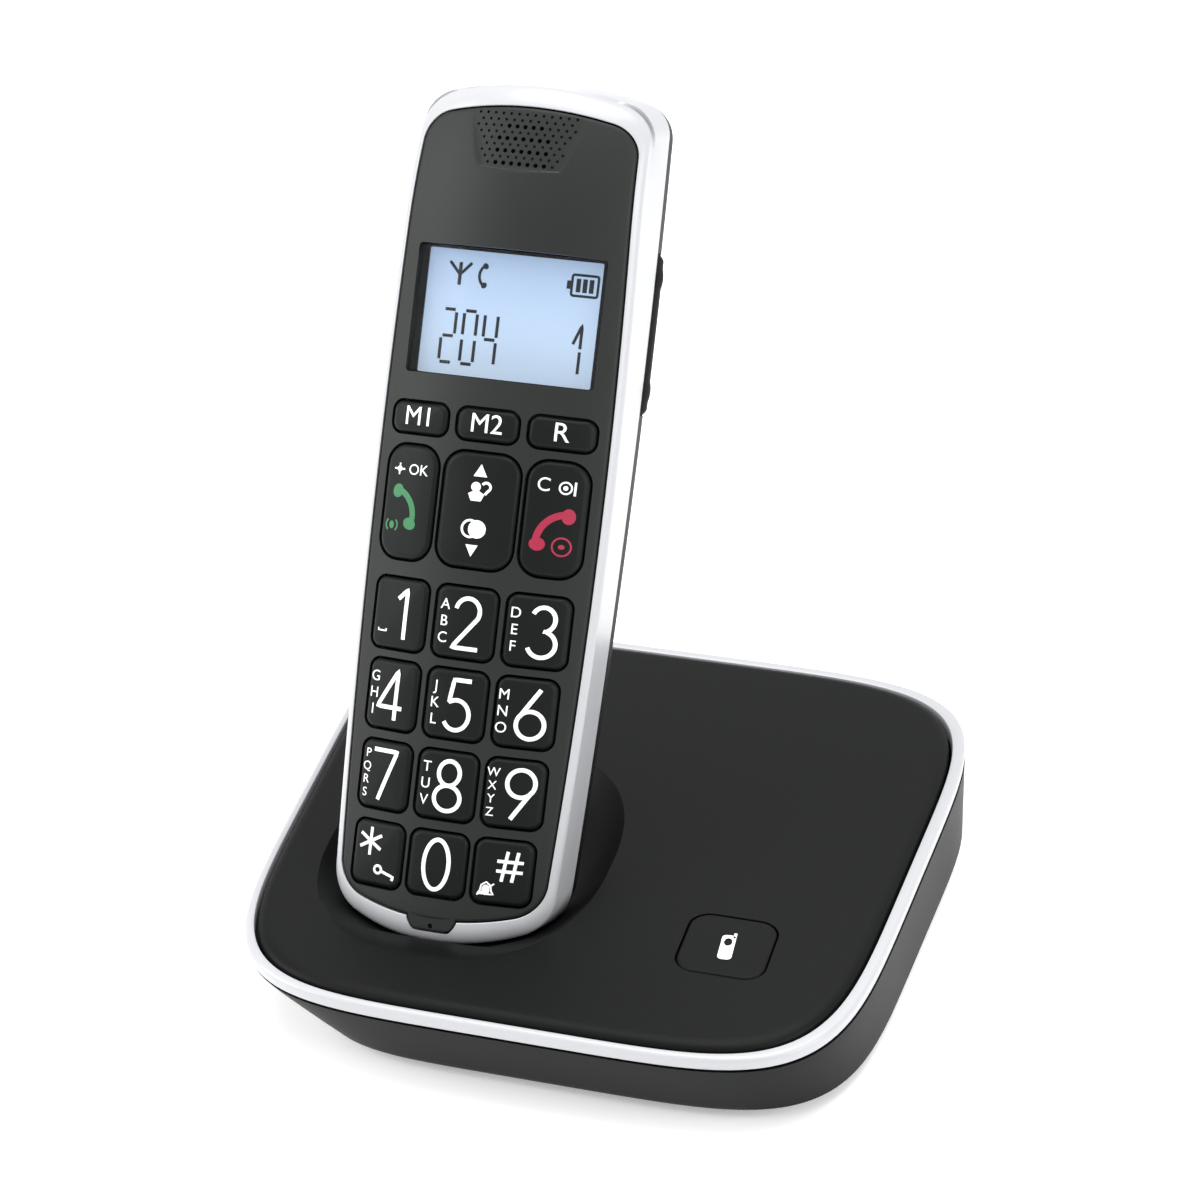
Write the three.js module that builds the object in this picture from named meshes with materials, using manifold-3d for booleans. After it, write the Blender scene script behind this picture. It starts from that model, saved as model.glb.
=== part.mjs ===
// Cordless phone standing in its charging base.
// Millimetres, +X to the right, +Y to the back, +Z up.
// The origin is on the ground, within about a millimetre of the centre of the base's footprint.
import * as THREE from 'three';
import { mergeVertices } from 'three/addons/utils/BufferGeometryUtils.js';
import Module from 'manifold-3d';

const wasm = await Module();
wasm.setup();

// ---- driving dimensions -------------------------------------------------

const GAP = 0.3; // between pieces that rest on, or sit inside, one another

// base footprint: a rounded trapezoid, a little wider at the back
const BASE_HALF_WIDTH = 64.4;
const BASE_HALF_DEPTH = 68.6;
const BASE_CENTRE_Y = 1;
const BASE_SQUARENESS = 5.1; // exponent of the outline
const BASE_FLARE = 0.066; // share by which the back is wider than the middle
const RIM_TOP = 20;
const RIM_WIDTH = 1.7;
const RIM_HEIGHT = 2.8;
const PLATE_PROUD = 0.8; // top plate above the rim
const PLATE_EDGE = 2.4; // roll-off round the top plate's edge
const PLATE_GROOVE = 0.6; // dark groove between plate and rim
const BASE_WALL = 2;
const FLOOR_BOTTOM = 2.5;
// how far the underside is drawn in on each side
const TUCK = { left: 15, right: -1.2, front: 7.2, back: 9.5 };
// how much wider the rim's top is on each side
const PLATE_SHY = { left: 0, right: 0.8, front: 0, back: 1 };

// cradle
const HANDSET_X = -23.4;
const HANDSET_Y = -14.5;
const HANDSET_RISE = 51.8; // face reference point above the rim
const LEAN = 28.3; // degrees from upright
const DISH_HALF_WIDTH = 28.5;
const DISH_HALF_DEPTH = 37.5;
const DISH_DEPTH = 10.5;
const DISH_SQUARENESS = 2.4;
const CRADLE_GAP = 0.6;
const CRADLE_WALL = 1.8;

// handset: x across, y along its length, z out of the face
const FACE_RADIUS = 43.3;
const CROWN_START = 75; // from here the face rolls back towards the top
const CROWN_RADIUS = 80;
const BODY = {
  top: 103.8, bottom: -61.4,
  topHalf: 22.9, midHalf: 24.3, bottomHalf: 22.4,
  topCorner: 8, bottomCorner: 9, topEnd: 75, bottomEnd: 46,
};
// the same outline where the frame meets the back cover: its head flares out
const BODY_BACK = {
  ...BODY, top: BODY.top + 2.4, topHalf: BODY.topHalf + 1.3, midHalf: BODY.midHalf + 0.2, topCorner: 6.5,
};
const FLARE_START = 6; // depth from which the frame flares
const THICKNESS = 27;
const FRAME_BACK = 19.5; // depth at which the frame meets the back cover
const FRAME_WALL = 1.4;
const END_LIP = 4.4; // frame's lip at the top and bottom of the face
const END_FLATTER = 12; // the face panel's ends are flatter than the frame's
const COVER_WALL = 1.8;
const BACK_ROUND = 5;
const HEEL_ROUND = 9; // rounded heel that stands in the cradle
const HEAD_ROUND = 6;

// layers inside the handset, as depths below the face
const KEY_PROUD = 0.5;
const KEY_BOTTOM = 8.7;
const KEY_FLANGE = 0.6;
const KEY_FLANGE_THICK = 0.8;
const KEY_GAP = 0.35;
const MAT_TOP = 10.1;
const MAT_THICK = 0.8;
const BOARD_THICK = 1.6;
const BOARD_TOP = MAT_TOP + MAT_THICK + GAP;
const SKIRT_DEPTH = 10;

// display
const WINDOW_HALF = 18.8;
const WINDOW_LOW = 47;
const WINDOW_HIGH = 71.9;
const LENS_THICK = 1.5;
const DISPLAY_TOP = 7.4;

// cells
const CELL_RADIUS = 5.25;
const CELL_LENGTH = 44.5;
const CELL_NOSE = 1.2;
const DOOR_HALF = 17;
const DOOR_TOP = 3;
const DOOR_THICK = 1.7;
const SPRING_ROOM = 3.2;
const TRAY_WALL = 1.2;
const RIB_HALF = 0.8; // rib between the cells
const RIB_THICK = 1.2; // ribs outside the cells

// charging contacts, each side of the centre line
const CONTACT_X = 9;
const CONTACT_DEPTH = 11.5;
const PAD_SIDE = 5;
const PAD_LOW = BODY.bottom + 1.4; // outer face of the handset's charging pads
const PIN_RADIUS = 1.3;

// volume rocker on the right-hand edge
const ROCKER_LOW = 44;
const ROCKER_HIGH = 75;
const ROCKER_PROUD = 0.8;
const ROCKER_TOP = 20.4;
const ROCKER_BOTTOM = 23.8;

// page button
const PAGE_X = 33.2;
const PAGE_Y = -34;
const PAGE_WIDTH = 17;
const PAGE_LENGTH = 18;
const PAGE_TRAVEL = 1.2;

// base board and sockets
const BOARD_LEFT = 12;
const BOARD_RIGHT = 50;
const BOARD_FRONT = -43.5;
const BASE_BOARD_Z = 6.5;
const BAY_WALL_Y = 58; // outer face of the flat wall behind the sockets
const BAY_LEFT = 8;
const BAY_RIGHT = 46;
const LINE_X = 21;
const POWER_X = 37;
const LINE_LENGTH = 13;
const POWER_LENGTH = 12;
const SOCKET_FLOOR = FLOOR_BOTTOM + BASE_WALL + GAP;
const SOCKET_FRONT = BAY_WALL_Y - BASE_WALL - GAP; // sockets' faces against the bay's wall
const BOARD_BACK = SOCKET_FRONT - LINE_LENGTH - GAP;

// fasteners and feet
const SCREW_SPOTS = [[-36, -48], [44, -50], [-38, 50], [48, 50]];
const FOOT_SPOTS = [[-26, -50], [30, -52], [-28, 53], [32, 54]];
const FOOT_RADIUS = 5;
const FOOT_SUNK = 0.7;
const SCREW_RADIUS = 1.3;
const SCREW_HEAD = 2.8;
const POST_RADIUS = 3.2;
const POST_LOW = 8;
const SCREW_TOP = 15;

// ---- finishes ------------------------------------------------------------

const finish = (color, roughness, metalness = 0) =>
  new THREE.MeshStandardMaterial({ color, roughness, metalness });
const finishes = {
  face: finish(0x3c3e3c, 0.5),
  key: finish(0x2b2d2d, 0.45),
  shell: finish(0x2b2d2c, 0.5),
  silver: finish(0xf0f0f2, 0.25, 0.1),
  clear: finish(0xdfe8f2, 0.05),
  display: finish(0xb9d3f2, 0.3),
  board: finish(0x1f6b45, 0.6),
  rubber: finish(0x1b1b1b, 0.9),
  steel: finish(0xb8babd, 0.35, 1),
  gold: finish(0xd8b35a, 0.3, 1),
  cell: finish(0x2f8f5b, 0.4, 0.2),
  socket: finish(0x1a1a1a, 0.5),
};

// ---- solids ---------------------------------------------------------------

// A closed geometry as a solid that can be cut and joined.
function solid(geometry) {
  const bare = geometry.clone();
  bare.deleteAttribute('normal');
  bare.deleteAttribute('uv');
  const merged = mergeVertices(bare, 1e-4);
  return new wasm.Manifold(new wasm.Mesh({
    numProp: 3,
    vertProperties: new Float32Array(merged.attributes.position.array),
    triVerts: new Uint32Array(merged.index.array),
  }));
}

// A cut or joined solid as a geometry again.
function surface(body) {
  const mesh = body.getMesh();
  const geometry = new THREE.BufferGeometry();
  geometry.setAttribute('position', new THREE.BufferAttribute(new Float32Array(mesh.vertProperties), 3));
  geometry.setIndex([...mesh.triVerts]);
  geometry.computeVertexNormals();
  return geometry;
}

const union = (...bodies) => bodies.reduce((all, one) => all.add(one));
const cut = (body, ...tools) => tools.reduce((left, tool) => left.subtract(tool), body);

// Box between two corners.
function box(x0, x1, y0, y1, z0, z1) {
  const geometry = new THREE.BoxGeometry(x1 - x0, y1 - y0, z1 - z0);
  return solid(geometry.translate((x0 + x1) / 2, (y0 + y1) / 2, (z0 + z1) / 2));
}

// Round rod along Z.
function rod(x, y, radius, z0, z1, sides = 20) {
  const geometry = new THREE.CylinderGeometry(radius, radius, z1 - z0, sides);
  return solid(geometry.rotateX(Math.PI / 2).translate(x, y, (z0 + z1) / 2));
}

// Round rod along Y.
function rodAlong(x, z, radius, y0, y1, sides = 20) {
  const geometry = new THREE.CylinderGeometry(radius, radius, y1 - y0, sides);
  return solid(geometry.translate(x, (y0 + y1) / 2, z));
}

// Prism of a shape between two heights.
function prism(shape, z0, z1, curveSegments = 4) {
  const geometry = new THREE.ExtrudeGeometry(shape, { depth: z1 - z0, bevelEnabled: false, curveSegments });
  return solid(geometry.translate(0, 0, z0));
}

// Rounded rectangle between two corners.
function roundedRectangle(x0, x1, y0, y1, radius) {
  const shape = new THREE.Shape();
  shape.absarc(x1 - radius, y1 - radius, radius, 0, Math.PI / 2);
  shape.absarc(x0 + radius, y1 - radius, radius, Math.PI / 2, Math.PI);
  shape.absarc(x0 + radius, y0 + radius, radius, Math.PI, 1.5 * Math.PI);
  shape.absarc(x1 - radius, y0 + radius, radius, 1.5 * Math.PI, 2 * Math.PI);
  return shape;
}

// Closed solid through a stack of rings that all have the same number of points, counter-clockwise
// as seen from the last ring's side.
function loft(rings) {
  const count = rings[0].length;
  const points = rings.flat();
  const faces = [];
  for (let level = 0; level + 1 < rings.length; level++) {
    for (let i = 0; i < count; i++) {
      const a = level * count + i;
      const b = level * count + (i + 1) % count;
      faces.push([a, b, b + count], [a, b + count, a + count]);
    }
  }
  for (const [ring, flip] of [[0, true], [rings.length - 1, false]]) {
    const centre = rings[ring].reduce((sum, p) => sum.map((v, k) => v + p[k] / count), [0, 0, 0]);
    points.push(centre);
    for (let i = 0; i < count; i++) {
      const a = ring * count + i;
      const b = ring * count + (i + 1) % count;
      faces.push(flip ? [points.length - 1, b, a] : [points.length - 1, a, b]);
    }
  }
  const geometry = new THREE.BufferGeometry();
  geometry.setAttribute('position', new THREE.BufferAttribute(new Float32Array(points.flat()), 3));
  geometry.setIndex(faces.flat());
  return solid(geometry);
}

// ---- base outline -----------------------------------------------------------

const BASE_POINTS = 44;

// The base's outline at height z, drawn in by an inset all round and by a share of an amount that
// differs from side to side.
function baseRing(inset, z, share = 0, sides = TUCK) {
  const ring = [];
  const power = 2 / BASE_SQUARENESS;
  for (let i = 0; i < BASE_POINTS; i++) {
    const angle = 2 * Math.PI * (i + 0.5) / BASE_POINTS;
    const across = Math.sign(Math.cos(angle)) * Math.abs(Math.cos(angle)) ** power;
    const along = Math.sign(Math.sin(angle)) * Math.abs(Math.sin(angle)) ** power;
    const halfWidth = BASE_HALF_WIDTH - inset - share * (across < 0 ? sides.left : sides.right);
    const halfDepth = BASE_HALF_DEPTH - inset - share * (along < 0 ? sides.front : sides.back);
    ring.push([halfWidth * across * (1 + BASE_FLARE * along), BASE_CENTRE_Y + halfDepth * along, z]);
  }
  return ring;
}

// The top plate's outline, which is also the inside of the rim.
const plateRing = (inset, z) => baseRing(inset, z, 1, PLATE_SHY);

// ---- handset outline and envelope ------------------------------------------------

// The handset's outline seen from the front: barrel sides, convex ends and round corners.
function outline(body) {
  const shape = new THREE.Shape();
  const end = (half, corner, radius, tip, sign) => {
    const hub = tip - sign * radius;
    const rise = Math.sqrt((radius - corner) ** 2 - (half - corner) ** 2);
    return { hub, y: hub + sign * rise, angle: Math.atan2(half - corner, rise) };
  };
  const top = end(body.topHalf, body.topCorner, body.topEnd, body.top, 1);
  const low = end(body.bottomHalf, body.bottomCorner, body.bottomEnd, body.bottom, -1);
  const quarter = Math.PI / 2;
  const bulge = 2 * body.midHalf - (body.topHalf + body.bottomHalf) / 2;
  const middle = (top.y + low.y) / 2;
  const topX = body.topHalf - body.topCorner;
  const lowX = body.bottomHalf - body.bottomCorner;
  shape.moveTo(body.bottomHalf, low.y);
  shape.quadraticCurveTo(bulge, middle, body.topHalf, top.y);
  shape.absarc(topX, top.y, body.topCorner, 0, quarter - top.angle);
  shape.absarc(0, top.hub, body.topEnd, quarter - top.angle, quarter + top.angle);
  shape.absarc(-topX, top.y, body.topCorner, quarter + top.angle, 2 * quarter);
  shape.quadraticCurveTo(-bulge, middle, -body.bottomHalf, low.y);
  shape.absarc(-lowX, low.y, body.bottomCorner, 2 * quarter, 3 * quarter - low.angle);
  shape.absarc(0, low.hub, body.bottomEnd, 3 * quarter - low.angle, 3 * quarter + low.angle);
  shape.absarc(lowX, low.y, body.bottomCorner, 3 * quarter + low.angle, 4 * quarter);
  return shape;
}

// An outline drawn in, by one amount at the sides and another at the ends.
function inset(side, ends = side, flatter = 0, body = BODY) {
  return {
    top: body.top - ends,
    bottom: body.bottom + ends,
    topHalf: body.topHalf - side,
    midHalf: body.midHalf - side,
    bottomHalf: body.bottomHalf - side,
    topCorner: body.topCorner - side,
    bottomCorner: body.bottomCorner - side,
    topEnd: body.topEnd - side + flatter,
    bottomEnd: body.bottomEnd - side + flatter,
  };
}

// Everything behind the curved face, at a depth below it: a barrel across the handset that rolls
// back over the top end.
function behindFace(depth) {
  const radius = FACE_RADIUS - depth;
  const halfAngle = Math.asin(Math.min(0.8, 31 / radius));
  const steps = 12;
  const section = [];
  for (let i = 0; i <= steps; i++) {
    const angle = halfAngle * (2 * i / steps - 1);
    section.push([radius * Math.sin(angle), radius * Math.cos(angle) - FACE_RADIUS]);
  }
  const reach = section[steps][0];
  section.push([reach, -60], [-reach, -60]);
  const rings = [section.map(([x, z]) => [x, -90, z]), section.map(([x, z]) => [x, CROWN_START, z])];
  for (let i = 1; i <= 5; i++) {
    const turn = THREE.MathUtils.degToRad(5.2 * i);
    rings.push(section.map(([x, z]) => {
      const arm = z + CROWN_RADIUS;
      return [x, CROWN_START + arm * Math.sin(turn), arm * Math.cos(turn) - CROWN_RADIUS];
    }));
  }
  return loft(rings);
}

// Side view of the handset as a bar across it, with its rounded heel and head, grown by a gap.
function sideEnvelope(grow, topReach = BODY_BACK.top + grow) {
  const back = -THICKNESS - grow;
  const low = BODY.bottom - grow;
  const shape = new THREE.Shape();
  shape.moveTo(low, 20);
  shape.lineTo(low, back + HEEL_ROUND);
  shape.absarc(low + HEEL_ROUND, back + HEEL_ROUND, HEEL_ROUND, Math.PI, 1.5 * Math.PI);
  shape.absarc(topReach - HEAD_ROUND, back + HEAD_ROUND, HEAD_ROUND, 1.5 * Math.PI, 2 * Math.PI);
  shape.lineTo(topReach, 20);
  const geometry = new THREE.ExtrudeGeometry(shape, { depth: 80, bevelEnabled: false, curveSegments: 5 });
  // shape x -> y, shape y -> z, extrusion -> x
  const turn = new THREE.Matrix4().makeBasis(
    new THREE.Vector3(0, 1, 0), new THREE.Vector3(0, 0, 1), new THREE.Vector3(1, 0, 0));
  return solid(geometry.applyMatrix4(turn).translate(-40, 0, 0));
}

const PANEL = inset(FRAME_WALL + GAP, END_LIP + GAP, END_FLATTER);
const PANEL_OPENING = inset(FRAME_WALL, END_LIP, END_FLATTER);

// Small tab of the face panel that reaches into the frame's lower lip, with the microphone hole.
function microphoneTab(grow) {
  const shape = new THREE.Shape();
  shape.moveTo(-4.8 - grow, PANEL.bottom + 2);
  shape.lineTo(-3.6 - grow, PANEL.bottom - 2.3 - grow);
  shape.lineTo(3.6 + grow, PANEL.bottom - 2.3 - grow);
  shape.lineTo(4.8 + grow, PANEL.bottom + 2);
  return shape;
}

// ---- keys -----------------------------------------------------------------------

const KEY_CURVE = 2; // straight steps round a key's corner

// Flat distance across the handset of a point that lies this far round the face.
const across = (round) => FACE_RADIUS * Math.sin(round / FACE_RADIUS);

const FUNCTION_ROW = { low: 35.3, high: 41.3, inner: 8.1, outer: 21.1, centre: 6.1, corner: 2 };
const CALL_ROW = { low: 11, high: 33, inner: 8.9, outer: 21, centre: 7.6, corner: 4 };
const NUMBER_ROWS = [
  { low: -6.4, high: 7.3, inner: 7.9, outer: 20.3, centre: 6.1, corner: 2 },
  { low: -21.9, high: -8.6, inner: 7.8, outer: 19.5, centre: 6, corner: 2 },
  { low: -37.4, high: -24.3, inner: 7.55, outer: 19.1, centre: 5.9, corner: 2 },
  { low: -52.3, high: -39.9, inner: 7.2, outer: 18.6, centre: 5.75, corner: 2 },
];
const KEY_ROWS = [
  [FUNCTION_ROW, ['key_m1', 'key_m2', 'key_r']],
  [CALL_ROW, ['key_talk', 'key_navigate', 'key_end']],
  [NUMBER_ROWS[0], ['key_1', 'key_2', 'key_3']],
  [NUMBER_ROWS[1], ['key_4', 'key_5', 'key_6']],
  [NUMBER_ROWS[2], ['key_7', 'key_8', 'key_9']],
  [NUMBER_ROWS[3], ['key_star', 'key_0', 'key_hash']],
];

// Every key's rectangle: left, right, low, high and corner radius.
const KEYS = KEY_ROWS.flatMap(([row, names]) => names.map((name, column) => {
  const side = column - 1;
  const near = side === 0 ? -row.centre : row.inner;
  const far = side === 0 ? row.centre : row.outer;
  const edges = [across(near), across(far)].map((x) => (side < 0 ? -x : x)).sort((a, b) => a - b);
  return { name, left: edges[0], right: edges[1], low: row.low, high: row.high, corner: row.corner };
}));

const keyShape = (key, grow) =>
  roundedRectangle(key.left - grow, key.right + grow, key.low - grow, key.high + grow, key.corner + grow);

// The face panel's hollow, drawn in further by a gap.
const panelRoom = (gap) =>
  inset(FRAME_WALL + GAP + COVER_WALL + gap, END_LIP + GAP + COVER_WALL + gap, END_FLATTER);

function keyCap(key) {
  const cap = prism(keyShape(key, 0), -KEY_BOTTOM, 3, KEY_CURVE).intersect(behindFace(-KEY_PROUD));
  const flange = prism(keyShape(key, KEY_FLANGE), -KEY_BOTTOM, KEY_FLANGE_THICK - KEY_BOTTOM, KEY_CURVE);
  return cap.add(flange.intersect(prism(outline(panelRoom(GAP)), -KEY_BOTTOM - 1, 0)));
}

// ---- handset pieces -----------------------------------------------------------

const EARPIECE_Y = 89;
const GRILLE_Y = 92;
const SPEAKER_Y = 62;
const HANDSET_SCREWS = [-13, 13];
const HANDSET_SCREW_Y = 88;

function handsetFrontCover() {
  const tab = prism(microphoneTab(0), -4.5, 3).intersect(behindFace(0));
  const outer = prism(outline(PANEL), -SKIRT_DEPTH, 3).intersect(behindFace(0)).add(tab);
  const hollow = prism(outline(panelRoom(0)), -SKIRT_DEPTH - 1, 3).intersect(behindFace(COVER_WALL));
  const holes = KEYS.map((key) => prism(keyShape(key, KEY_GAP), -SKIRT_DEPTH - 1, 3, KEY_CURVE));
  const display = prism(
    roundedRectangle(-WINDOW_HALF, WINDOW_HALF, WINDOW_LOW, WINDOW_HIGH, 0.8), -SKIRT_DEPTH, 3, 2);
  const grille = [];
  for (let row = 0; row < 3; row++) {
    for (let column = -2; column <= 2; column++) {
      grille.push(rod(2.4 * column, GRILLE_Y - 2.4 + 2.4 * row, 0.6, -9, 3, 6));
    }
  }
  const microphoneHole = rod(0, PANEL.bottom - 0.9, 0.5, -6, 3, 8);
  const microphoneSeat = rod(0, PANEL.bottom + 0.1, 2.3, -SKIRT_DEPTH - 1, -2.2, 14);
  return cut(outer, hollow, ...holes, display, ...grille, microphoneHole, microphoneSeat);
}

// The outside of the frame, from its flared back edge to above the face.
function frameSolid() {
  const levels = [[BODY_BACK, -FRAME_BACK], [BODY, -FLARE_START], [BODY, 3]];
  return loft(levels.map(([body, z]) =>
    outline(body).extractPoints(4).shape.slice(0, -1).map((point) => [point.x, point.y, z])));
}

function handsetFrame() {
  const outer = frameSolid().intersect(behindFace(0));
  const hollow = prism(outline(inset(FRAME_WALL)), -FRAME_BACK - 1, 3).intersect(behindFace(1.6));
  const opening = prism(outline(PANEL_OPENING), -FRAME_BACK - 1, 3);
  const notch = prism(microphoneTab(GAP), -8, 3);
  const half = PAD_SIDE / 2 + GAP;
  const pads = [-CONTACT_X, CONTACT_X].map((x) => box(
    x - half, x + half, BODY.bottom - 2, BODY.bottom + 4.5, -CONTACT_DEPTH - half, half - CONTACT_DEPTH));
  return cut(outer.intersect(sideEnvelope(0)), hollow, opening, notch, ...pads);
}

// The outside of the back cover, with its rounded edge, grown or shrunk by an offset.
function backSolid(grow) {
  const edge = BACK_ROUND + 0.2;
  const geometry = new THREE.ExtrudeGeometry(outline(inset(edge, edge, 0, BODY_BACK)), {
    depth: 20,
    bevelThickness: BACK_ROUND + grow,
    bevelSize: BACK_ROUND + grow,
    bevelSegments: 3,
    curveSegments: 4,
  });
  const body = solid(geometry.translate(0, 0, BACK_ROUND - THICKNESS));
  return body.intersect(sideEnvelope(grow));
}

const DOOR_LOW = DOOR_TOP - CELL_LENGTH - CELL_NOSE - SPRING_ROOM - 1;
const TRAY_DEPTH = THICKNESS - DOOR_THICK - 2 * CELL_RADIUS - GAP - 0.2;
const CELL_X = CELL_RADIUS + RIB_HALF + GAP; // each side of the rib between the cells
const CELL_DEPTH = THICKNESS - DOOR_THICK - 0.2 - CELL_RADIUS;
const CELL_LOW = DOOR_LOW + 1.2;

const doorShape = (grow) =>
  roundedRectangle(-DOOR_HALF - grow, DOOR_HALF + grow, DOOR_LOW - grow, DOOR_TOP + grow, 3 + grow);

function handsetBackCover() {
  const seam = -FRAME_BACK - GAP;
  const shell = backSolid(0).intersect(box(-40, 40, -90, 120, -40, seam));
  const tongueOuter = prism(outline(inset(FRAME_WALL + GAP)), seam - 1.5, seam + 3);
  const tongue = tongueOuter.intersect(sideEnvelope(-FRAME_WALL - GAP));
  const tray = prism(doorShape(GAP + TRAY_WALL), -THICKNESS + 1, -TRAY_DEPTH + TRAY_WALL);
  const room = prism(doorShape(GAP), -THICKNESS - 1, -TRAY_DEPTH);
  const inside = prism(outline(inset(FRAME_WALL + GAP + COVER_WALL)), -THICKNESS + COVER_WALL, -5);
  const hollow = inside.intersect(backSolid(-COVER_WALL));
  const rib = box(-RIB_HALF, RIB_HALF, DOOR_LOW + 6, DOOR_TOP - 6, -THICKNESS + 7, -TRAY_DEPTH + 0.4);
  const sideRib = box(CELL_X + CELL_RADIUS + GAP, CELL_X + CELL_RADIUS + GAP + RIB_THICK,
    DOOR_LOW + 8, DOOR_TOP - 8, -THICKNESS + 5, -TRAY_DEPTH + 0.4);
  const sideRibs = [sideRib, sideRib.mirror([1, 0, 0])];
  const slots = [-2, -1, 0, 1, 2].map((i) =>
    box(-8, 8, SPEAKER_Y + 3.2 * i - 0.7, SPEAKER_Y + 3.2 * i + 0.7, -THICKNESS - 1, -THICKNESS + 3));
  const rocker = box(10, 30, ROCKER_LOW - GAP, ROCKER_HIGH + GAP, -ROCKER_BOTTOM - GAP, GAP - ROCKER_TOP);
  const bosses = HANDSET_SCREWS.map((x) => rod(x, HANDSET_SCREW_Y, 3.4, -THICKNESS + 1, -15, 16));
  const bores = HANDSET_SCREWS.flatMap((x) => [
    rod(x, HANDSET_SCREW_Y, SCREW_RADIUS + GAP, -THICKNESS - 1, -10, 12),
    rod(x, HANDSET_SCREW_Y, 2.6, -THICKNESS - 1, -THICKNESS + 3, 16),
  ]);
  const walls = cut(union(shell, tongue), hollow);
  const trimmedBosses = bosses.map((boss) => boss.intersect(backSolid(0)));
  const body = union(cut(union(walls, tray), room), rib, ...sideRibs, ...trimmedBosses);
  return cut(body, ...slots, rocker, ...bores);
}

function batteryDoor() {
  const skin = prism(doorShape(0), -THICKNESS - 1, DOOR_THICK - THICKNESS);
  const grips = [0, 1, 2, 3].map((i) => box(-6, 6, DOOR_TOP - 8 + 1.6 * i, DOOR_TOP - 7.2 + 1.6 * i,
    -THICKNESS - 1, -THICKNESS + 0.5));
  return cut(skin.intersect(backSolid(0)), ...grips);
}

function volumeRocker() {
  const skin = backSolid(ROCKER_PROUD);
  const bar = box(20.6, 30, ROCKER_LOW, ROCKER_HIGH, -ROCKER_BOTTOM, -ROCKER_TOP);
  return skin.intersect(bar);
}

function displayLens() {
  const shape = roundedRectangle(
    GAP - WINDOW_HALF, WINDOW_HALF - GAP, WINDOW_LOW + GAP, WINDOW_HIGH - GAP, 0.6);
  return prism(shape, -12, 3, 2).intersect(behindFace(GAP)).subtract(behindFace(GAP + LENS_THICK));
}

function displayModule() {
  return box(-19.2, 19.2, WINDOW_LOW - 2.2, WINDOW_HIGH + 2.2, GAP - BOARD_TOP, -DISPLAY_TOP);
}

function handsetCircuitBoard() {
  const board = prism(outline(panelRoom(0.4)), -BOARD_TOP - BOARD_THICK, -BOARD_TOP);
  const bores = HANDSET_SCREWS.map((x) => rod(x, HANDSET_SCREW_Y, 3.8, -20, 0, 16));
  return cut(board, ...bores);
}

function keypadMat() {
  const low = NUMBER_ROWS[3].low - 0.2;
  const high = FUNCTION_ROW.high + 1;
  return prism(roundedRectangle(-18.2, 18.2, low, high, 3), -MAT_TOP - MAT_THICK, -MAT_TOP, 3);
}

function earpiece() {
  const body = rod(0, EARPIECE_Y, 7, GAP - BOARD_TOP, -7.2, 20);
  const rim = rod(0, EARPIECE_Y, 5.8, -7.3, -6.4, 20);
  return body.add(rim);
}

function microphone() {
  return rod(0, PANEL.bottom + 0.1, 2, -5.8, -2.8, 14);
}

function ringerSpeaker() {
  const body = rod(0, SPEAKER_Y, 9, COVER_WALL + GAP - THICKNESS, -21, 24);
  return body.add(rod(0, SPEAKER_Y, 6.5, -21, -18.8, 24));
}

// One rechargeable cell with its raised positive end.
function cell(x, noseUp) {
  const low = CELL_LOW + (noseUp ? SPRING_ROOM : CELL_NOSE);
  const high = low + CELL_LENGTH;
  const nose = noseUp ? [high, high + CELL_NOSE - 0.2] : [low - CELL_NOSE + 0.2, low];
  const can = rodAlong(x, -CELL_DEPTH, CELL_RADIUS, low, high, 24);
  return can.add(rodAlong(x, -CELL_DEPTH, 1.9, nose[0], nose[1], 14));
}

// Coned contact spring at the flat end of a cell.
function cellSpring(x, noseUp) {
  const flat = noseUp ? CELL_LOW + SPRING_ROOM : CELL_LOW + CELL_NOSE + CELL_LENGTH;
  const away = noseUp ? -1 : 1;
  const base = flat + away * (SPRING_ROOM - GAP);
  const tip = flat + away * GAP;
  const profile = [new THREE.Vector2(0, base)];
  const turns = 3;
  for (let i = 0; i <= 2 * turns; i++) {
    const share = i / (2 * turns);
    const radius = 3.6 - 1.6 * share - (i % 2) * 0.5;
    profile.push(new THREE.Vector2(radius, base + (tip - base) * share));
  }
  profile.push(new THREE.Vector2(0, tip));
  if (away > 0) profile.reverse();
  return solid(new THREE.LatheGeometry(profile, 16)).translate([x, 0, -CELL_DEPTH]);
}

// Metal strip that links the two cells at the lower end.
function cellLink() {
  return box(-9.5, 9.5, DOOR_LOW, DOOR_LOW + 0.5, -CELL_DEPTH - 3.5, 3.5 - CELL_DEPTH);
}

function chargePad(x) {
  const half = PAD_SIDE / 2;
  return box(x - half, x + half, PAD_LOW, PAD_LOW + 0.8, -CONTACT_DEPTH - half, half - CONTACT_DEPTH);
}

function handsetScrew(x) {
  const head = rod(x, HANDSET_SCREW_Y, 2.3, -THICKNESS + 1.5, -THICKNESS + 2.8, 16);
  const shank = rod(x, HANDSET_SCREW_Y, SCREW_RADIUS - 0.1, -THICKNESS + 2.7, -11, 10);
  const slot = box(
    x - 1.4, x + 1.4, HANDSET_SCREW_Y - 0.35, HANDSET_SCREW_Y + 0.35, -THICKNESS, -THICKNESS + 2.1);
  return head.add(shank).subtract(slot);
}

// ---- handset placed in the base ------------------------------------------------

const handset = new THREE.Group();
handset.position.set(HANDSET_X, HANDSET_Y, RIM_TOP + HANDSET_RISE);
handset.rotation.x = THREE.MathUtils.degToRad(90 - LEAN);
handset.updateMatrixWorld(true);

// A solid made in the handset's own axes, turned to where the handset stands.
const docked = (body) => solid(surface(body).applyMatrix4(handset.matrixWorld));

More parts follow.
